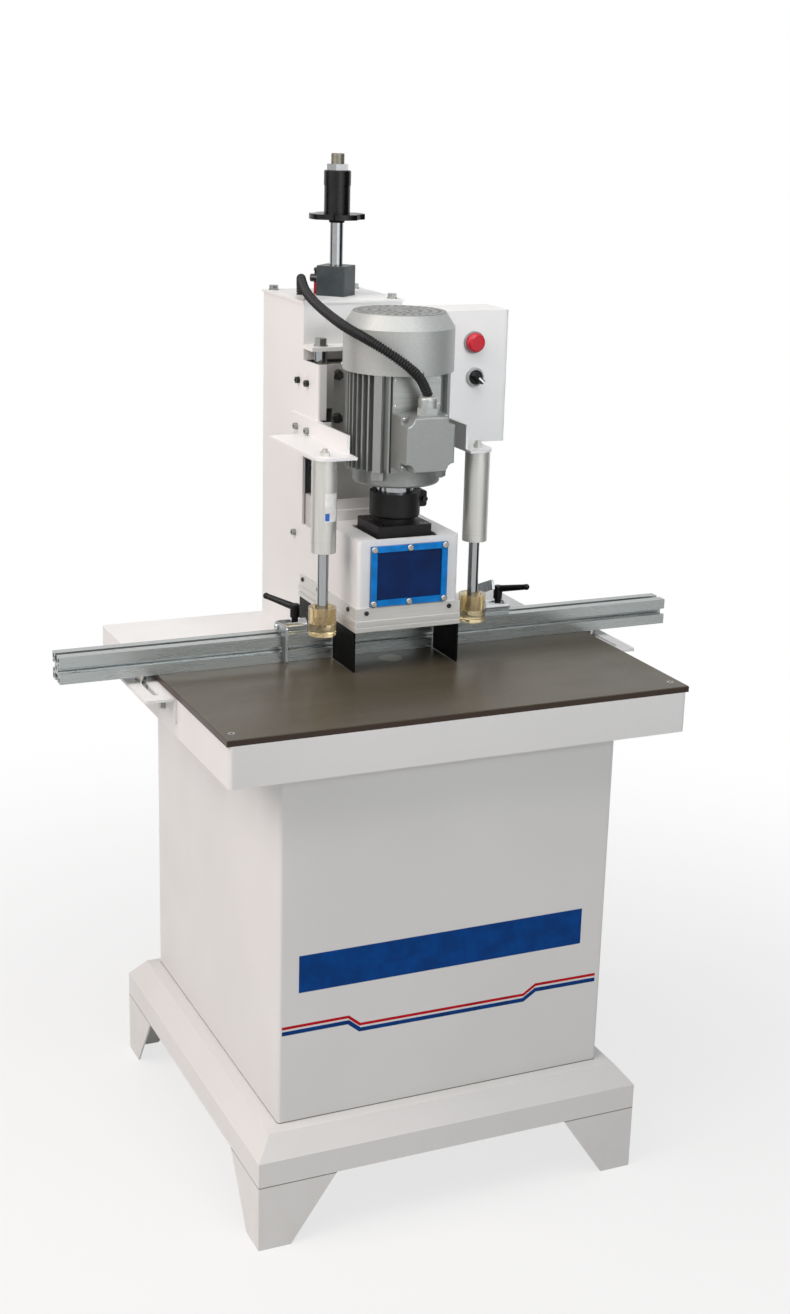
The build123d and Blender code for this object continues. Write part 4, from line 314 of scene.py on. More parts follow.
def drawn_metal(name, base, roughness, grain, metallic=1.0, change=0.12):
    """Bare or plated metal with fine lines or patches of the given size along x, y and z."""
    material, tree, shader = start(name, {"Metallic": metallic})
    lines = mottle(tree, grain, low=0.3, high=0.7, detail=3)
    dark, light = shade(base, 1 - change), shade(base, 1 + change / 2)
    tone = put(tree, "ShaderNodeMix", {FAC: lines, A: dark, B: light}, data_type="RGBA")
    sheen = put(tree, "ShaderNodeMapRange", {
        "Value": lines, "To Min": roughness * 0.85, "To Max": roughness * 1.2})
    wire(tree, shader, {"Base Color": tone, "Roughness": sheen})
    return material


def aluminium_paint(name, base, grain, relief, metallic=0.6, painted_shade_above=None):
    """Sprayed aluminium paint: a soft metallic grey with a fine sparkle and skin, and painted shade above the
    given height.
    """
    material, tree, shader = start(name, {"Metallic": metallic, "IOR": 1.5})
    fleck = mottle(tree, (grain, grain, grain), low=0.25, high=0.75)
    dark, light = shade(base, 0.93), shade(base, 1.05)
    tone = put(tree, "ShaderNodeMix", {FAC: fleck, A: dark, B: light}, data_type="RGBA")
    # Painted shade: the top face above this height is drawn at half the tone.
    if painted_shade_above is not None:
        top = put(tree, "ShaderNodeMath", {0: coordinates(tree)["Z"], 1: painted_shade_above}, operation="GREATER_THAN")
        tone = put(tree, "ShaderNodeMix", {FAC: top, A: tone, B: shade(base, 0.5)}, data_type="RGBA")
    patch = mottle(tree, (35, 35, 35))
    skin = put(tree, "ShaderNodeMapRange", {"Value": patch, "To Min": 0.36, "To Max": 0.48})
    wire(tree, shader, {"Base Color": tone, "Roughness": skin})
    rough_skin(tree, shader, grain, relief)
    return material


def moulded(name, base, roughness, grain, relief, specular=0.5):
    """Moulded plastic, rubber, film or a painted casting: one colour with a fine grained skin."""
    material, tree, shader = start(name, {"IOR": 1.5, "Specular IOR Level": specular})
    patch = mottle(tree, (grain * 6, grain * 6, grain * 6))
    dark, light = shade(base, 0.85), shade(base, 1.15)
    tone = put(tree, "ShaderNodeMix", {FAC: patch, A: dark, B: light}, data_type="RGBA")
    skin = put(tree, "ShaderNodeMapRange", {
        "Value": patch, "To Min": roughness * 0.9, "To Max": roughness * 1.1})
    wire(tree, shader, {"Base Color": tone, "Roughness": skin})
    rough_skin(tree, shader, grain, relief)
    return material


def clear_polyurethane(name, base):
    """Cast polyurethane: a honey-clear soft plastic, glossy outside and cloudy within."""
    material, tree, shader = start(name, {"IOR": 1.5, "Transmission Weight": 0.88})
    cloud = mottle(tree, (14, 14, 14))
    tone = put(tree, "ShaderNodeMix", {FAC: cloud, A: base, B: shade(base, 0.85)}, data_type="RGBA")
    skin = put(tree, "ShaderNodeMapRange", {"Value": cloud, "To Min": 0.04, "To Max": 0.1})
    wire(tree, shader, {"Base Color": tone, "Roughness": skin})
    return material


def tinted_pane(name, base):
    """Tinted acrylic sheet: very smooth, nearly black-blue in depth."""
    material, tree, shader = start(name, {"IOR": 1.49, "Specular IOR Level": 0.12})
    haze = mottle(tree, (45, 45, 45))
    tone = put(tree, "ShaderNodeMix", {FAC: haze, A: base, B: shade(base, 1.5)}, data_type="RGBA")
    wiped = mottle(tree, (30, 30, 12), detail=4)
    smear = put(tree, "ShaderNodeMapRange", {"Value": wiped, "To Min": 0.05, "To Max": 0.16})
    wire(tree, shader, {"Base Color": tone, "Roughness": smear})
    return material


def two_metals(name, mask, first, second):
    """Two plain metals in one node, each a colour, a metallic value and a roughness, told apart by place."""
    material, tree, shader = start(name, {})
    where = mask(tree, coordinates(tree))
    patch = mottle(tree, (6, 6, 6))
    tints, metallic, roughness = zip(first, second)
    one, other = (
        put(tree, "ShaderNodeMix", {FAC: patch, A: shade(tint, 0.88), B: tint}, data_type="RGBA")
        for tint in tints)
    tone = put(tree, "ShaderNodeMix", {FAC: where, A: one, B: other}, data_type="RGBA")
    metal = put(tree, "ShaderNodeMapRange", {"Value": where, "To Min": metallic[0], "To Max": metallic[1]})
    gloss = put(tree, "ShaderNodeMapRange", {"Value": where, "To Min": roughness[0], "To Max": roughness[1]})
    wear = put(tree, "ShaderNodeMapRange", {"Value": patch, "To Min": 0.85, "To Max": 1.15})
    worn = put(tree, "ShaderNodeMath", {0: gloss, 1: wear}, operation="MULTIPLY")
    wire(tree, shader, {"Base Color": tone, "Metallic": metal, "Roughness": worn})
    return material


def high_side_bolts(tree, at):
    """1 on the blackened bolts high in the column's sides."""
    off = put(tree, "ShaderNodeMath", {0: at["X"]}, operation="ABSOLUTE")
    outside = put(tree, "ShaderNodeMath", {0: off, 1: COLUMN_HALF}, operation="GREATER_THAN")
    high = put(tree, "ShaderNodeMath", {0: at["Z"], 1: SIDE_BOLTS_ABOVE}, operation="GREATER_THAN")
    return put(tree, "ShaderNodeMath", {0: outside, 1: high}, operation="MULTIPLY")


def coupling_bolts(tree, at):
    """1 on the black screws of the coupling, below the motor and above the hood."""
    low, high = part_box("coupling_housing")
    below = put(tree, "ShaderNodeMath", {0: at["Z"], 1: high.z}, operation="LESS_THAN")
    over = put(tree, "ShaderNodeMath", {0: at["Z"], 1: low.z}, operation="GREATER_THAN")
    return put(tree, "ShaderNodeMath", {0: below, 1: over}, operation="MULTIPLY")


def rim_screws(tree, at):
    """1 on the dark screws of the hood's rim strips, below the window's bright ones."""
    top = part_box("hood_rim")[1].z + MM
    return put(tree, "ShaderNodeMath", {0: at["Z"], 1: top}, operation="LESS_THAN")


def bare_spigot(tree, at):
    """1 on the turned spigot under the painted end shield."""
    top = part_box("motor_housing")[0].z - SPIGOT_DROP
    return put(tree, "ShaderNodeMath", {0: at["Z"], 1: top}, operation="LESS_THAN")


def stud_end(tree, at):
    """1 on the zinc-yellow thread above the lock nut."""
    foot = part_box("feed_rod")[1].z - STUD_SHOWS
    return put(tree, "ShaderNodeMath", {0: at["Z"], 1: foot}, operation="GREATER_THAN")


def lamp_lens(name, red, grey):
    """Pilot lamp: a glossy red lens in a satin grey bezel."""
    material, tree, shader = start(name, {"IOR": 1.5})
    at = coordinates(tree)
    low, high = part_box("pilot_lamp")
    middle = ((low.x + high.x) / 2, 0.0, (low.z + high.z) / 2)
    rim = (high.x - low.x) / 2 - LAMP_BEZEL
    level = put(tree, "ShaderNodeCombineXYZ", {0: at["X"], 2: at["Z"]})
    apart = put(tree, "ShaderNodeVectorMath", {0: level, 1: middle}, operation="DISTANCE")
    outer = put(tree, "ShaderNodeMath", {0: apart, 1: rim}, operation="GREATER_THAN")
    ripple = mottle(tree, (3, 3, 3))
    lens = put(tree, "ShaderNodeMix", {FAC: ripple, A: red, B: shade(red, 1.15)}, data_type="RGBA")
    tone = put(tree, "ShaderNodeMix", {FAC: outer, A: lens, B: grey}, data_type="RGBA")
    gloss = put(tree, "ShaderNodeMapRange", {"Value": outer, "To Min": 0.12, "To Max": 0.35})
    wire(tree, shader, {"Base Color": tone, "Roughness": gloss})
    return material


def air_fitting(name, body, tube):
    """Push-in fitting of dark nylon, and its red polyurethane tube."""
    material, tree, shader = start(name, {"IOR": 1.5})
    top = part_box("air_line")[0].z + TUBE_LENGTH
    tubing = put(tree, "ShaderNodeMath", {0: coordinates(tree)["Z"], 1: top}, operation="LESS_THAN")
    patch = mottle(tree, (5, 5, 5))
    dark = put(tree, "ShaderNodeMix", {FAC: patch, A: body, B: shade(body, 1.3)}, data_type="RGBA")
    tone = put(tree, "ShaderNodeMix", {FAC: tubing, A: dark, B: tube}, data_type="RGBA")
    gloss = put(tree, "ShaderNodeMapRange", {"Value": patch, "To Min": 0.25, "To Max": 0.4})
    wire(tree, shader, {"Base Color": tone, "Roughness": gloss})
    return material


def finishes(tints):
    """Every finish, and the CAD nodes that have it."""
    even = (4, 4, 4)
    zinc = (paint("#A2A4A2"), 1.0, 0.26)
    black = (paint("#151516"), 0.2, 0.3)
    chrome = (paint("#A6A8AA"), 1.0, 0.12)
    nickel = (paint("#ABAAA6"), 1.0, 0.22)
    yellow_zinc = (paint("#7F7C70"), 0.7, 0.42)
    silver = (tints.motor, 0.6, 0.42)
    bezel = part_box("control_box")[0].y + CONTROL_BEZEL
    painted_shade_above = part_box("fan_cowl")[1].z - MM
    return (
        # Powder-coated sheet steel: one even satin white on every panel.
        (powder_coat("white_powder_coat", tints.white, SEAMS),
         ("base_plinth", "cabinet_panels", "table_tray", "column_sides", "column_panels", "column_top_plate",
          "hood_shell", "clamp_brackets", "fence_brackets", "shaft_holders")),
        # The same coat, and a grey bezel where the box stands proud.
        (powder_coat("control_powder_coat", tints.white, bezel=bezel), ("control_box",)),
        # Compact laminate: a dark semi-gloss face on a brown edge.
        (table_laminate("compact_laminate", tints.table), ("table_plate",)),
        # Zinc-plated bolts, bright, with a few blackened ones.
        (two_metals("zinc_and_black_bolts", high_side_bolts, zinc, black), ("frame_bolts",)),
        (two_metals("bright_and_black_screws", coupling_bolts, zinc, black), ("head_screws",)),
        # Nickel-plated screws: a warmer bright metal.
        (two_metals("nickel_and_black_screws", rim_screws, nickel, black), ("hood_screws",)),
        (drawn_metal("nickel_plated_screws", paint("#C9C8C3"), roughness=0.22, grain=even), ("fence_bolts",)),
        # Hard chrome: nearly a mirror, with faint lines along the rod.
        (drawn_metal("hard_chrome", paint("#A2A4A6"), roughness=0.12, grain=(2, 2, 40), change=0.06),
         ("guide_shafts", "left_clamp_rod", "right_clamp_rod")),
        # Hard chrome that ends in a dull yellow stud.
        (two_metals("chrome_rod_and_stud", stud_end, chrome, yellow_zinc), ("feed_rod",)),
        # Anodised tube: pale satin, with faint lines along it.
        (drawn_metal("anodised_barrel", paint("#C9C9C4"), roughness=0.36, grain=(3, 3, 60),
                     metallic=0.6, change=0.05),
         ("clamp_barrels", "feed_cylinder")),
        # Extruded aluminium: bright grey, with die lines along the bar.
        (drawn_metal("extruded_aluminium", paint("#A7ACAB"), roughness=0.28, grain=(90, 2.5, 2.5),
                     metallic=0.75, change=0.06),
         ("fence_profile",)),
        # Plated strip: pale and satin.
        (drawn_metal("satin_rim_strip", paint("#D0D0CC"), roughness=0.35, grain=(90, 90, 2.5),
                     metallic=0.4, change=0.06),
         ("hood_rim",)),
        # Anodised block: dark slate with a low sheen.
        (moulded("slate_anodised_block", tints.block, roughness=0.4, grain=2, relief=0.02),
         ("feed_top_block",)),
        (air_fitting("nylon_air_fitting", paint("#1D2022"), paint("#C2173A")), ("air_line",)),
        # Enamelled steel: a clear blue with a soft gloss.
        (moulded("blue_enamel", tints.frame_blue, roughness=0.35, grain=3, relief=0.02, specular=0.2),
         ("window_frame",)),
        (tinted_pane("tinted_acrylic", tints.pane), ("window_pane",)),
        # Sheet rubber: deep black that hardly shines.
        (moulded("black_sheet_rubber", paint("#040404"), roughness=0.45, grain=3, relief=0.05, specular=0.12),
         ("curtains", "depth_bumper")),
        (lamp_lens("red_lamp_lens", tints.lens, paint("#8C8E90")), ("pilot_lamp",)),
        # Glass-filled nylon: black, with a fine grained sheen.
        (moulded("glass_filled_nylon", paint("#080809"), roughness=0.36, grain=2, relief=0.04, specular=0.25),
         ("left_stop_lever", "right_stop_lever", "selector_knob", "conduit")),
        # Polished and plated metal: bright, with soft reflections.
        (drawn_metal("bright_stop_metal", paint("#C2C5C6"), roughness=0.2, grain=even),
         ("left_stop_block", "right_stop_block")),
        # Ground steel: grey, with lines up the blade.
        (drawn_metal("ground_steel_blade", paint("#B9BCBD"), roughness=0.28, grain=(3, 3, 30)),
         ("left_stop_blade", "right_stop_blade")),
        (clear_polyurethane("honey_polyurethane", tints.cup), ("left_clamp_cup", "right_clamp_cup")),
        # Sprayed paint on a casting: a pale, hardly metallic grey.
        (aluminium_paint("carriage_grey_paint", paint("#C6C5C1"), grain=3, relief=0.03, metallic=0.3),
         ("carriage",)),
        # Machined steel: dark, with lines along the shaft.
        (drawn_metal("dark_machined_steel", paint("#6E6B6A"), roughness=0.4, grain=(2, 2, 30), metallic=0.7),
         ("rotor",)),
        # Bearing bronze: brown gold and satin.
        (drawn_metal("bearing_bronze", paint("#B08D57"), roughness=0.35, grain=even), ("carriage_bushings",)),
        # Cast aluminium: grey and dull.
        (drawn_metal("cast_aluminium", paint("#A6A7A5"), roughness=0.5, grain=even), ("gearbox_housing",)),
        # Ground tool steel: an even bright grey.
        (drawn_metal("ground_tool_steel", paint("#A9ABAD"), roughness=0.25, grain=even),
         ("spindle_bearings", "centre_spindle", "left_spindle", "right_spindle",
          "centre_bit", "left_bit", "right_bit")),
        # Blackened casting: black, with a grained skin.
        (moulded("black_oxide_casting", tints.casting, roughness=0.45, grain=2.5, relief=0.06, specular=0.22),
         ("coupling_housing",)),
        # Aluminium paint: a soft silver grey over the fins.
        (aluminium_paint("motor_aluminium_paint", tints.motor, grain=2.5, relief=0.04),
         ("motor_housing", "terminal_box")),
        # The same silver, and a bright turned spigot.
        (two_metals("painted_shield_and_spigot", bare_spigot, silver, chrome), ("motor_end_shield",)),
        # Aluminium paint on pressed sheet: smoother and paler, with painted shade darkening its top face.
        (aluminium_paint("cowl_aluminium_paint", tints.cowl, grain=3, relief=0.01, metallic=0.3, painted_shade_above=painted_shade_above),
         ("fan_cowl",)),
        # Nickel-plated brass: grey and satin.
        (drawn_metal("gland_nickel", paint("#A4A8A6"), roughness=0.36, grain=even, metallic=0.5),
         ("conduit_gland",)),
        # Black anodised aluminium: smooth, with a clear gloss.
        (moulded("black_anodised_sleeve", paint("#080809"), roughness=0.28, grain=2, relief=0.004,
                 specular=0.3),
         ("depth_sleeve",)),
    )


def place(name, data):
    """A new object at the origin."""
    thing = bpy.data.objects.new(name, data)
    bpy.context.scene.collection.objects.link(thing)
    return thing


def mesh_piece(name, mesh, material, body):
    """A mesh as a piece that rides on a body."""
    mesh.materials.append(material)
    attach(place(name, mesh), body)


def as_mesh(shape, name):
    """A bmesh turned into a mesh."""
    mesh = bpy.data.meshes.new(name)
    shape.to_mesh(mesh)
    shape.free()
    return mesh


def slab(outline, back, front):
    """Closed plate between two depths, from an outline of (x, z) that runs anticlockwise from the front."""
    shape = bmesh.new()
    rings = [[shape.verts.new((x, y, z)) for x, z in outline] for y in (front, back)]
    count = len(outline)
    shape.faces.new(rings[0])
    shape.faces.new(reversed(rings[1]))
    for i in range(count):
        j = (i + 1) % count
        shape.faces.new((rings[0][j], rings[0][i], rings[1][i], rings[1][j]))
    return as_mesh(shape, "plate")


def wrapped(axis, radius, bearings, z, thick, steps=14):
    """Closed film wrapped on an upright barrel, between two bearings in degrees and two heights."""
    shape = bmesh.new()
    inner, outer = radius - thick, radius + thick
    rings = []
    for r, h in ((outer, z[0]), (outer, z[1]), (inner, z[1]), (inner, z[0])):
        ring = []
        for step in range(steps + 1):
            turn = math.radians(bearings[0] + (bearings[1] - bearings[0]) * step / steps)
            ring.append(shape.verts.new((axis[0] + r * math.cos(turn), axis[1] + r * math.sin(turn), h)))
        rings.append(ring)
    for one, other in zip(rings, rings[1:] + rings[:1]):
        for i in range(steps):
            shape.faces.new((one[i], one[i + 1], other[i + 1], other[i]))
    shape.faces.new([ring[0] for ring in rings])
    shape.faces.new([ring[-1] for ring in reversed(rings)])
    return as_mesh(shape, "film")


def rounded(x, z, radius, steps=6):
    """Outline of a rectangle with rounded corners, between two values of x and of z."""
    points = []
    for cx, cz, turn in ((x[1], z[0], -90), (x[1], z[1], 0), (x[0], z[1], 90), (x[0], z[0], 180)):
        mx = cx - radius if cx == x[1] else cx + radius
        mz = cz - radius if cz == z[1] else cz + radius
        for step in range(steps + 1):
            angle = math.radians(turn + 90 * step / steps)
            points.append((mx + radius * math.cos(angle), mz + radius * math.sin(angle)))
    return points


def stripe(line, drop, width):
    """Outline of a stripe of even width along a line, moved down."""
    points = [Vector((x * MM, z * MM - drop)) for x, z in line]
    runs = [(b - a).normalized() for a, b in zip(points, points[1:])]
    upper, lower = [], []
    for i, point in enumerate(points):
        before, after = runs[max(i - 1, 0)], runs[min(i, len(runs) - 1)]
        along = (before + after).normalized()
        across = Vector((-along.y, along.x)) * (width / 2 / along.dot(after))
        if i in (0, len(points) - 1):
            across = Vector((0, width / 2))
        upper.append(point + across)
        lower.append(point - across)
    return [tuple(p) for p in lower + upper[::-1]]


def open_tree(name, given, sizes):
    """A geometry tree with a geometry input and named sizes, its inputs, and the sizes' identifiers."""
    tree = bpy.data.node_groups.new(name, "GeometryNodeTree")
    tree.interface.new_socket(given, in_out="INPUT", socket_type="NodeSocketGeometry")
    keys = {}
    for size, kind in sizes.items():
        keys[size] = tree.interface.new_socket(size, in_out="INPUT", socket_type=kind).identifier
    tree.interface.new_socket("Geometry", in_out="OUTPUT", socket_type="NodeSocketGeometry")
    return tree, put(tree, "NodeGroupInput").outputs, keys


def close_tree(tree, shape, material):
    """Ends a geometry tree in plain geometry with a material."""
    whole = put(tree, "GeometryNodeRealizeInstances", {"Geometry": shape})
    done = put(tree, "GeometryNodeSetMaterial", {"Geometry": whole, "Material": material})
    put(tree, "NodeGroupOutput", {"Geometry": done})


def conduit_tree(material):
    """Ribbed tube along a path of edges."""
    tree, given, keys = open_tree("Ribbed conduit", "Path", {
        "Crest": "NodeSocketFloat", "Root": "NodeSocketFloat", "Ribs": "NodeSocketInt"})
    count = put(tree, "ShaderNodeMath", {0: given["Ribs"], 1: RIB_STEPS, 2: 1.0}, operation="MULTIPLY_ADD")
    line = put(tree, "GeometryNodeMeshToCurve", {"Mesh": given["Path"]})
    line = put(tree, "GeometryNodeResampleCurve", {"Curve": line, "Count": count}, mode="COUNT")
    index = put(tree, "GeometryNodeInputIndex")
    turn = put(tree, "ShaderNodeMath", {0: index, 1: 2 * math.pi / RIB_STEPS}, operation="MULTIPLY")
    wave = put(tree, "ShaderNodeMath", {0: turn}, operation="COSINE")
    across = put(tree, "ShaderNodeMapRange", {
        "Value": wave, "From Min": RIB_FLANK[0], "From Max": RIB_FLANK[1],
        "To Min": given["Crest"], "To Max": given["Root"]})
    radius = put(tree, "ShaderNodeMath", {0: across, 1: 0.5}, operation="MULTIPLY")
    ring = put(tree, "GeometryNodeCurvePrimitiveCircle", {
        "Resolution": CONDUIT_SIDES, "Radius": 1.0}, mode="RADIUS")
    skin = put(tree, "GeometryNodeCurveToMesh", {
        "Curve": line, "Profile Curve": ring, "Scale": radius, "Fill Caps": True})
    skin = put(tree, "GeometryNodeSetShadeSmooth", {"Geometry": skin})
    close_tree(tree, skin, material)
    return tree, keys


def rivet_tree(material):
    """A small domed rivet on every point, facing the front."""
    tree, given, keys = open_tree("Plate rivets", "Places", {"Diameter": "NodeSocketFloat"})
    radius = put(tree, "ShaderNodeMath", {0: given["Diameter"], 1: 0.5}, operation="MULTIPLY")
    dome = put(tree, "GeometryNodeMeshUVSphere", {"Segments": 14, "Rings": 8, "Radius": radius})
    flat = put(tree, "GeometryNodeTransform", {"Geometry": dome, "Scale": (1.0, 0.5, 1.0)})
    flat = put(tree, "GeometryNodeSetShadeSmooth", {"Geometry": flat})
    many = put(tree, "GeometryNodeInstanceOnPoints", {"Points": given["Places"], "Instance": flat})
    close_tree(tree, many, material)
    return tree, keys


def evaluated(piece, name):
    """The piece's mesh with its modifiers worked in, as a mesh of its own."""
    graph = bpy.context.evaluated_depsgraph_get()
    mesh = bpy.data.meshes.new_from_object(piece.evaluated_get(graph))
    mesh.name = name
    return mesh


def grow(piece, tree, inputs):
    """Works a geometry tree into a piece, with the tree's inputs by their identifiers."""
    maker = piece.modifiers.new(tree.name, "NODES")
    maker.node_group = tree
    for key, value in inputs.items():
        maker[key] = value
    mesh = evaluated(piece, piece.name)
    piece.modifiers.clear()
    piece.data = mesh


class BORING_OT_finishes(bpy.types.Operator):
    """Gives every CAD node its finish"""
    bl_idname = "boring.finishes"
    bl_label = "Finishes of the solids"

    def execute(self, context):
        bare = set(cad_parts)
        for material, nodes in finishes(context.scene.boring_colours):
            for node in nodes:
                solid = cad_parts[node]
                if not solid.material_slots:
                    solid.data.materials.append(material)
                for slot in solid.material_slots:
                    slot.material = material
            bare -= set(nodes)
        if bare:
            raise RuntimeError(f"no finish for {sorted(bare)}")
        return {"FINISHED"}


class BORING_OT_conduit(bpy.types.Operator):
    """Ribbed conduit from the column's top to the motor's terminal box"""
    bl_idname = "boring.conduit"
    bl_label = "Conduit"

    def execute(self, context):
        sizes = context.scene.boring_sizes
        curve = bpy.data.curves.new("conduit_route", "CURVE")
        curve.dimensions = "3D"
        spline = curve.splines.new("NURBS")
        spline.points.add(len(CONDUIT_ROUTE) - 1)
        for point, at in zip(spline.points, CONDUIT_ROUTE):
            point.co = (*at, 1.0)
        spline.order_u = 3
        spline.use_endpoint_u = True
        spline.resolution_u = ROUTE_STEPS
        route = place("conduit_route", curve)
        path = evaluated(route, "conduit_path")
        bpy.data.objects.remove(route)
        conduit = place("ribbed_conduit", path)
        tree, keys = conduit_tree(bpy.data.materials["glass_filled_nylon"])
        grow(conduit, tree, {
            keys["Crest"]: sizes.conduit_crest,
            keys["Root"]: sizes.conduit_root,
            keys["Ribs"]: sizes.conduit_ribs,
        })
        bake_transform(conduit)
        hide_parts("conduit")
        return {"FINISHED"}


class BORING_OT_stripes(bpy.types.Operator):
    """Blue band and the two stripes of printed film on the cabinet's front"""
    bl_idname = "boring.stripes"
    bl_label = "Band and stripes"

    def execute(self, context):
        sizes, tints = context.scene.boring_sizes, context.scene.boring_colours
        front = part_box("cabinet_panels")[0].y
        depths = (front + 0.5 * sizes.film, front - sizes.film)
        half, rise = sizes.band_width / 2, sizes.band_height / 2
        x = (BAND_SHIFT - half, BAND_SHIFT + half)
        z = (sizes.band_middle - rise, sizes.band_middle + rise)
        films = (
            ("blue_band", rounded(x, z, BAND_CORNER), tints.band),
            ("red_stripe", stripe(STRIPE_LINE, 0.0, sizes.red_width), tints.stripe_red),
            ("blue_stripe", stripe(STRIPE_LINE, sizes.stripe_gap, sizes.blue_width), tints.stripe_blue),
        )
        for name, outline, tint in films:
            # Printed vinyl film: a flat colour with a low gloss.
            film = moulded(name + "_film", tint, roughness=0.4, grain=4, relief=0.01, specular=0.08)
            mesh_piece(name, slab(outline, *depths), film, "frame")
        return {"FINISHED"}


class BORING_OT_plate(bpy.types.Operator):
    """Bare plate with four rivets on the motor's front"""
    bl_idname = "boring.plate"
    bl_label = "Motor plate"

    def execute(self, context):
        sizes = context.scene.boring_sizes
        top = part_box("fan_cowl")[0].z - PLATE_DROP
        half = sizes.plate_width / 2
        z = (top - sizes.plate_height, top)
        front = PLATE_SEAT - PLATE_PROUD
        # Etched aluminium: a grey satin sheet with fine lines across.
        plate = drawn_metal("etched_aluminium_plate", paint("#9DA09D"), roughness=0.4, grain=(50, 2.5, 2.5),
                            metallic=0.8)
        outline = rounded((-half, half), z, PLATE_CORNER)
        mesh_piece("motor_plate", slab(outline, PLATE_SEAT + PLATE_SUNK, front), plate, "head")
        sides = (RIVET_INSET - half, half - RIVET_INSET)
        heights = (z[0] + RIVET_INSET, z[1] - RIVET_INSET)
        mesh = bpy.data.meshes.new("plate_rivets")
        mesh.from_pydata([(x, front, h) for x in sides for h in heights], [], [])
        rivets = place("plate_rivets", mesh)
        tree, keys = rivet_tree(bpy.data.materials["nickel_plated_screws"])
        grow(rivets, tree, {keys["Diameter"]: RIVET_D})
        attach(rivets, "head")
        return {"FINISHED"}


class BORING_OT_marks(bpy.types.Operator):
    """White pointer on the selector, and the plain label on the left clamp"""
    bl_idname = "boring.marks"
    bl_label = "Pointer and label"

    def execute(self, context):
        low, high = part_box("selector_knob")
        middle = Vector(((low.x + high.x) / 2, low.y, (low.z + high.z) / 2))
        bar = slab(rounded(POINTER_X, POINTER_Z, POINTER_CORNER), *POINTER_DEPTHS)
        bar.transform(Matrix.Translation(middle) @ Matrix.Rotation(math.radians(POINTER_TURN), 4, "Y"))
        # Filled paint line: white and nearly matt.
        white = moulded("white_pointer_paint", paint("#F1F1EE"), roughness=0.4, grain=2, relief=0.01)
        mesh_piece("selector_pointer", bar, white, "selector")
        low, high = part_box("clamp_barrels")
        radius = (high.y - low.y) / 2
        # Printed polyester film: a pale silver label with a blue square.
        label = moulded("silver_label_film", paint("#E8E8E6"), roughness=0.35, grain=3, relief=0.01)
        blue = moulded("blue_label_print", paint("#1668C4"), roughness=0.35, grain=3, relief=0.01)
        film = wrapped(LEFT_CLAMP, radius, LABEL_BEARINGS, LABEL_Z, LABEL_FILM)
        mesh_piece("barrel_label", film, label, "frame")
        square = wrapped(LEFT_CLAMP, radius, SQUARE_BEARINGS, SQUARE_Z, 2 * LABEL_FILM)
        mesh_piece("barrel_label_square", square, blue, "frame")
        return {"FINISHED"}


def aim(thing, at, target):
    """Places a lamp or a flag so that it faces a target."""
    thing.location = at
    thing.rotation_euler = (Vector(target) - Vector(at)).to_track_quat("-Z", "Y").to_euler()


def softbox(name, at, target, size, watts, tint, beam=180):
    """Area light that faces a target, with a grid that narrows its beam to an angle in degrees."""
    light = bpy.data.lights.new(name, "AREA")
    light.shape = "RECTANGLE"
    light.size, light.size_y = size
    light.energy = watts
    light.spread = math.radians(beam)
    light.color = paint(tint)[:3]
    aim(place(name, light), at, target)


def flag(name, at, target, size):
    """Dark studio flag that only reflections see, so that bright metal has dark edges."""
    shape = bmesh.new()
    bmesh.ops.create_grid(shape, x_segments=1, y_segments=1, size=0.5)
    bmesh.ops.scale(shape, vec=(*size, 1), verts=shape.verts)
    mesh = as_mesh(shape, name)
    mesh.materials.append(start(name + "_cloth", {"Base Color": paint("#2A2A2B"), "Roughness": 0.9})[0])
    panel = place(name, mesh)
    aim(panel, at, target)
    for kind in ("camera", "diffuse", "transmission", "shadow"):
        setattr(panel, "visible_" + kind, False)


def seen_rays(tree):
    """1 for what the camera, a reflection or clear plastic sees."""
    path = put(tree, "ShaderNodeLightPath").outputs
    view, gloss = path["Is Camera Ray"], path["Is Glossy Ray"]
    two = put(tree, "ShaderNodeMath", {0: view, 1: gloss}, operation="MAXIMUM")
    return put(tree, "ShaderNodeMath", {0: two, 1: path["Is Transmission Ray"]}, operation="MAXIMUM")


def studio_sky(scene):
    """Weak light from all round, which the camera and reflections see as white."""
    world = bpy.data.worlds.new("studio")
    world.use_nodes = True
    scene.world = world
    tree = world.node_tree
    tree.nodes.clear()
    fill = put(tree, "ShaderNodeBackground", {"Color": paint("#F3F5F8"), "Strength": SKY_FILL})
    white = put(tree, "ShaderNodeBackground", {"Color": WHITE, "Strength": 1.0})
    sky = put(tree, "ShaderNodeMixShader", {0: seen_rays(tree), 1: fill, 2: white})
    put(tree, "ShaderNodeOutputWorld", {"Surface": sky})


def pale_floor():
    """Painted studio floor: pale and matt, fading to the white background away from the machine."""
    shape = bmesh.new()
    bmesh.ops.create_circle(shape, cap_ends=True, segments=96, radius=FLOOR_RADIUS)
    floor = place("floor", as_mesh(shape, "floor"))
    material, tree, shader = start("pale_floor", {"Roughness": 0.8, "Base Color": paint("#E2E2E1")})
    at = put(tree, "ShaderNodeTexCoord").outputs["Object"]
    apart = put(tree, "ShaderNodeVectorMath", {0: at}, operation="LENGTH")
    fade = put(tree, "ShaderNodeMapRange", {
        "Value": apart, "From Min": FLOOR_FADE[0], "From Max": FLOOR_FADE[1], "To Min": FLOOR_NEAR,
    }, interpolation_type="SMOOTHSTEP")
    pale = put(tree, "ShaderNodeMath", {0: fade, 1: seen_rays(tree)}, operation="MULTIPLY")
    glow = put(tree, "ShaderNodeEmission", {"Color": WHITE, "Strength": 1.0})
    mix = put(tree, "ShaderNodeMixShader", {0: pale, 1: shader, 2: glow})
    wire(tree, tree.nodes["Material Output"], {"Surface": mix})
    floor.data.materials.append(material)


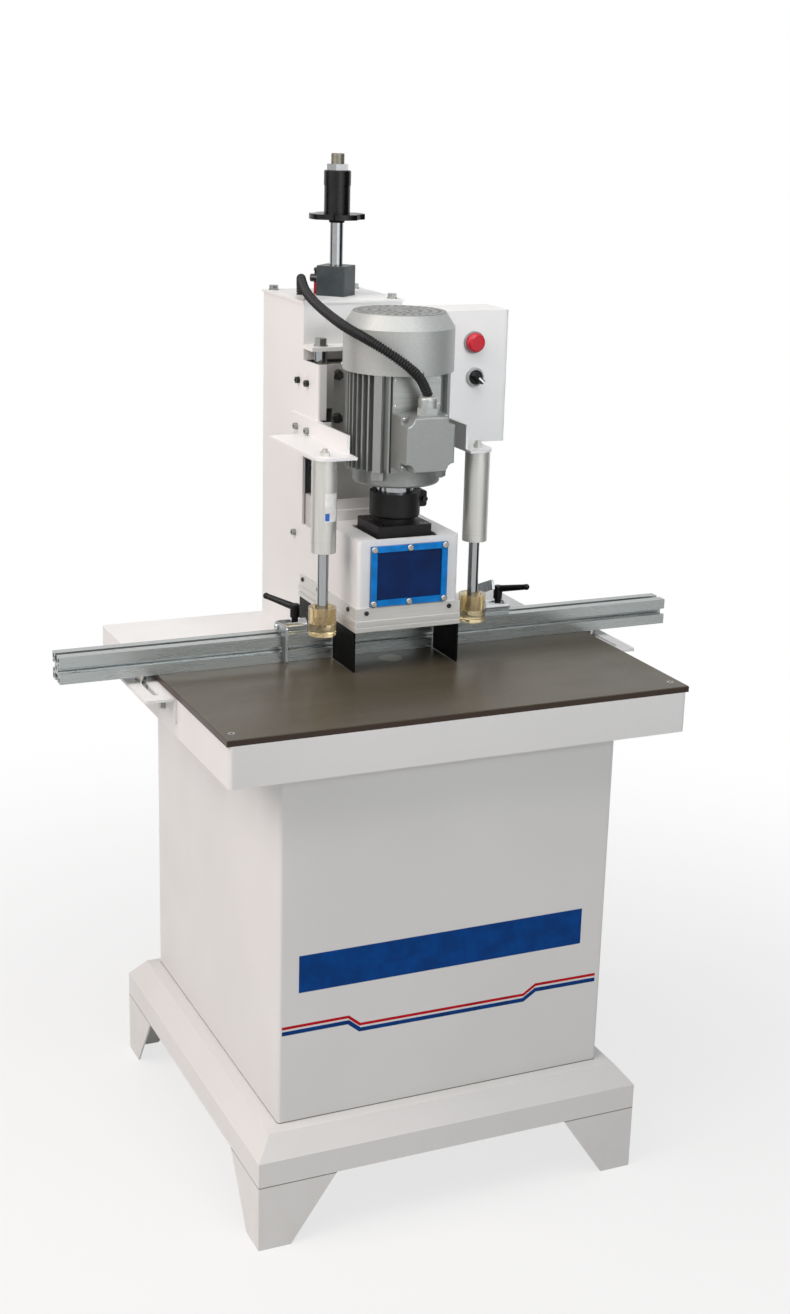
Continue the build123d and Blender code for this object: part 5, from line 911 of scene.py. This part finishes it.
def photo_camera(scene):
    """Camera at the photograph's viewing angle."""
    camera = bpy.data.cameras.new("photo_view")
    # An automatic fit lays the sensor's width along the picture's longer side, which is its height.
    camera.sensor_fit = "AUTO"
    camera.sensor_width = SENSOR
    camera.lens = CAMERA_FOCUS * SENSOR / PHOTO_HEIGHT
    camera.clip_end = VIEW_REACH
    yaw, pitch, roll = (math.radians(angle) for angle in CAMERA_TURN)
    ahead = Vector((math.sin(yaw) * math.cos(pitch), math.cos(yaw) * math.cos(pitch), -math.sin(pitch)))
    right = Vector((math.cos(yaw), -math.sin(yaw), 0))
    up = right.cross(ahead)
    side = math.cos(roll) * right + math.sin(roll) * up
    upward = math.cos(roll) * up - math.sin(roll) * right
    turned = Matrix((side, upward, -ahead)).transposed().to_4x4()
    eye = place("photo_view", camera)
    eye.matrix_world = Matrix.Translation(Vector(CAMERA_AT) * MM) @ turned
    scene.camera = eye


class BORING_OT_stage(bpy.types.Operator):
    """Pale floor, soft studio light and the camera"""
    bl_idname = "boring.stage"
    bl_label = "Stage"

    def execute(self, context):
        scene = context.scene
        scene.view_settings.view_transform = "Standard"
        studio_sky(scene)
        pale_floor()
        softbox("key", (-2.5, -0.45, 2.75), MIDDLE, size=(2.2, 2.2), watts=75, tint="#FFF0EB")
        softbox("top", (-0.2, -0.9, 3.4), (0, -0.2, 0.6), size=(2.0, 2.0), watts=31, tint="#FFFFFF")
        softbox("front", (0.3, -3.4, 1.5), (0, 0, 0.75), size=(2.4, 1.6), watts=11, tint="#FFFFFF")
        softbox("head", (0.5, -2.2, 2.0), (0.12, 0.0, 1.2), size=(1.0, 0.7), watts=1.06, tint="#F6F9FF",
                beam=32)
        flag("right_flag", (2.5, -0.9, 1.2), MIDDLE, size=(2.8, 2.6))
        flag("left_flag", (-2.4, 1.5, 1.2), MIDDLE, size=(1.3, 2.6))
        photo_camera(scene)
        return {"FINISHED"}


class BORING_PT_panel(bpy.types.Panel):
    """Lists the machine's operators, colours and sizes"""
    bl_idname = "BORING_PT_panel"
    bl_label = "Boring machine"
    bl_space_type = "VIEW_3D"
    bl_region_type = "UI"
    bl_category = "Boring machine"

    def draw(self, context):
        for step in STEPS:
            self.layout.operator(step.bl_idname)
        for group in (context.scene.boring_colours, context.scene.boring_sizes):
            for key in group.__annotations__:
                self.layout.prop(group, key)


STEPS = (
    BORING_OT_finishes,
    BORING_OT_conduit,
    BORING_OT_stripes,
    BORING_OT_plate,
    BORING_OT_marks,
    BORING_OT_stage,
)
CLASSES = (MachineColours, MachineSizes, *STEPS, BORING_PT_panel)


def register():
    for kind in CLASSES:
        bpy.utils.register_class(kind)
    bpy.types.Scene.boring_colours = bpy.props.PointerProperty(type=MachineColours)
    bpy.types.Scene.boring_sizes = bpy.props.PointerProperty(type=MachineSizes)


def unregister():
    del bpy.types.Scene.boring_sizes
    del bpy.types.Scene.boring_colours
    for kind in reversed(CLASSES):
        bpy.utils.unregister_class(kind)


def main():
    register()
    bpy.ops.boring.finishes()
    bpy.ops.boring.conduit()
    bpy.ops.boring.stripes()
    bpy.ops.boring.plate()
    bpy.ops.boring.marks()
    bpy.ops.boring.stage()


if __name__ == "__main__":
    main()
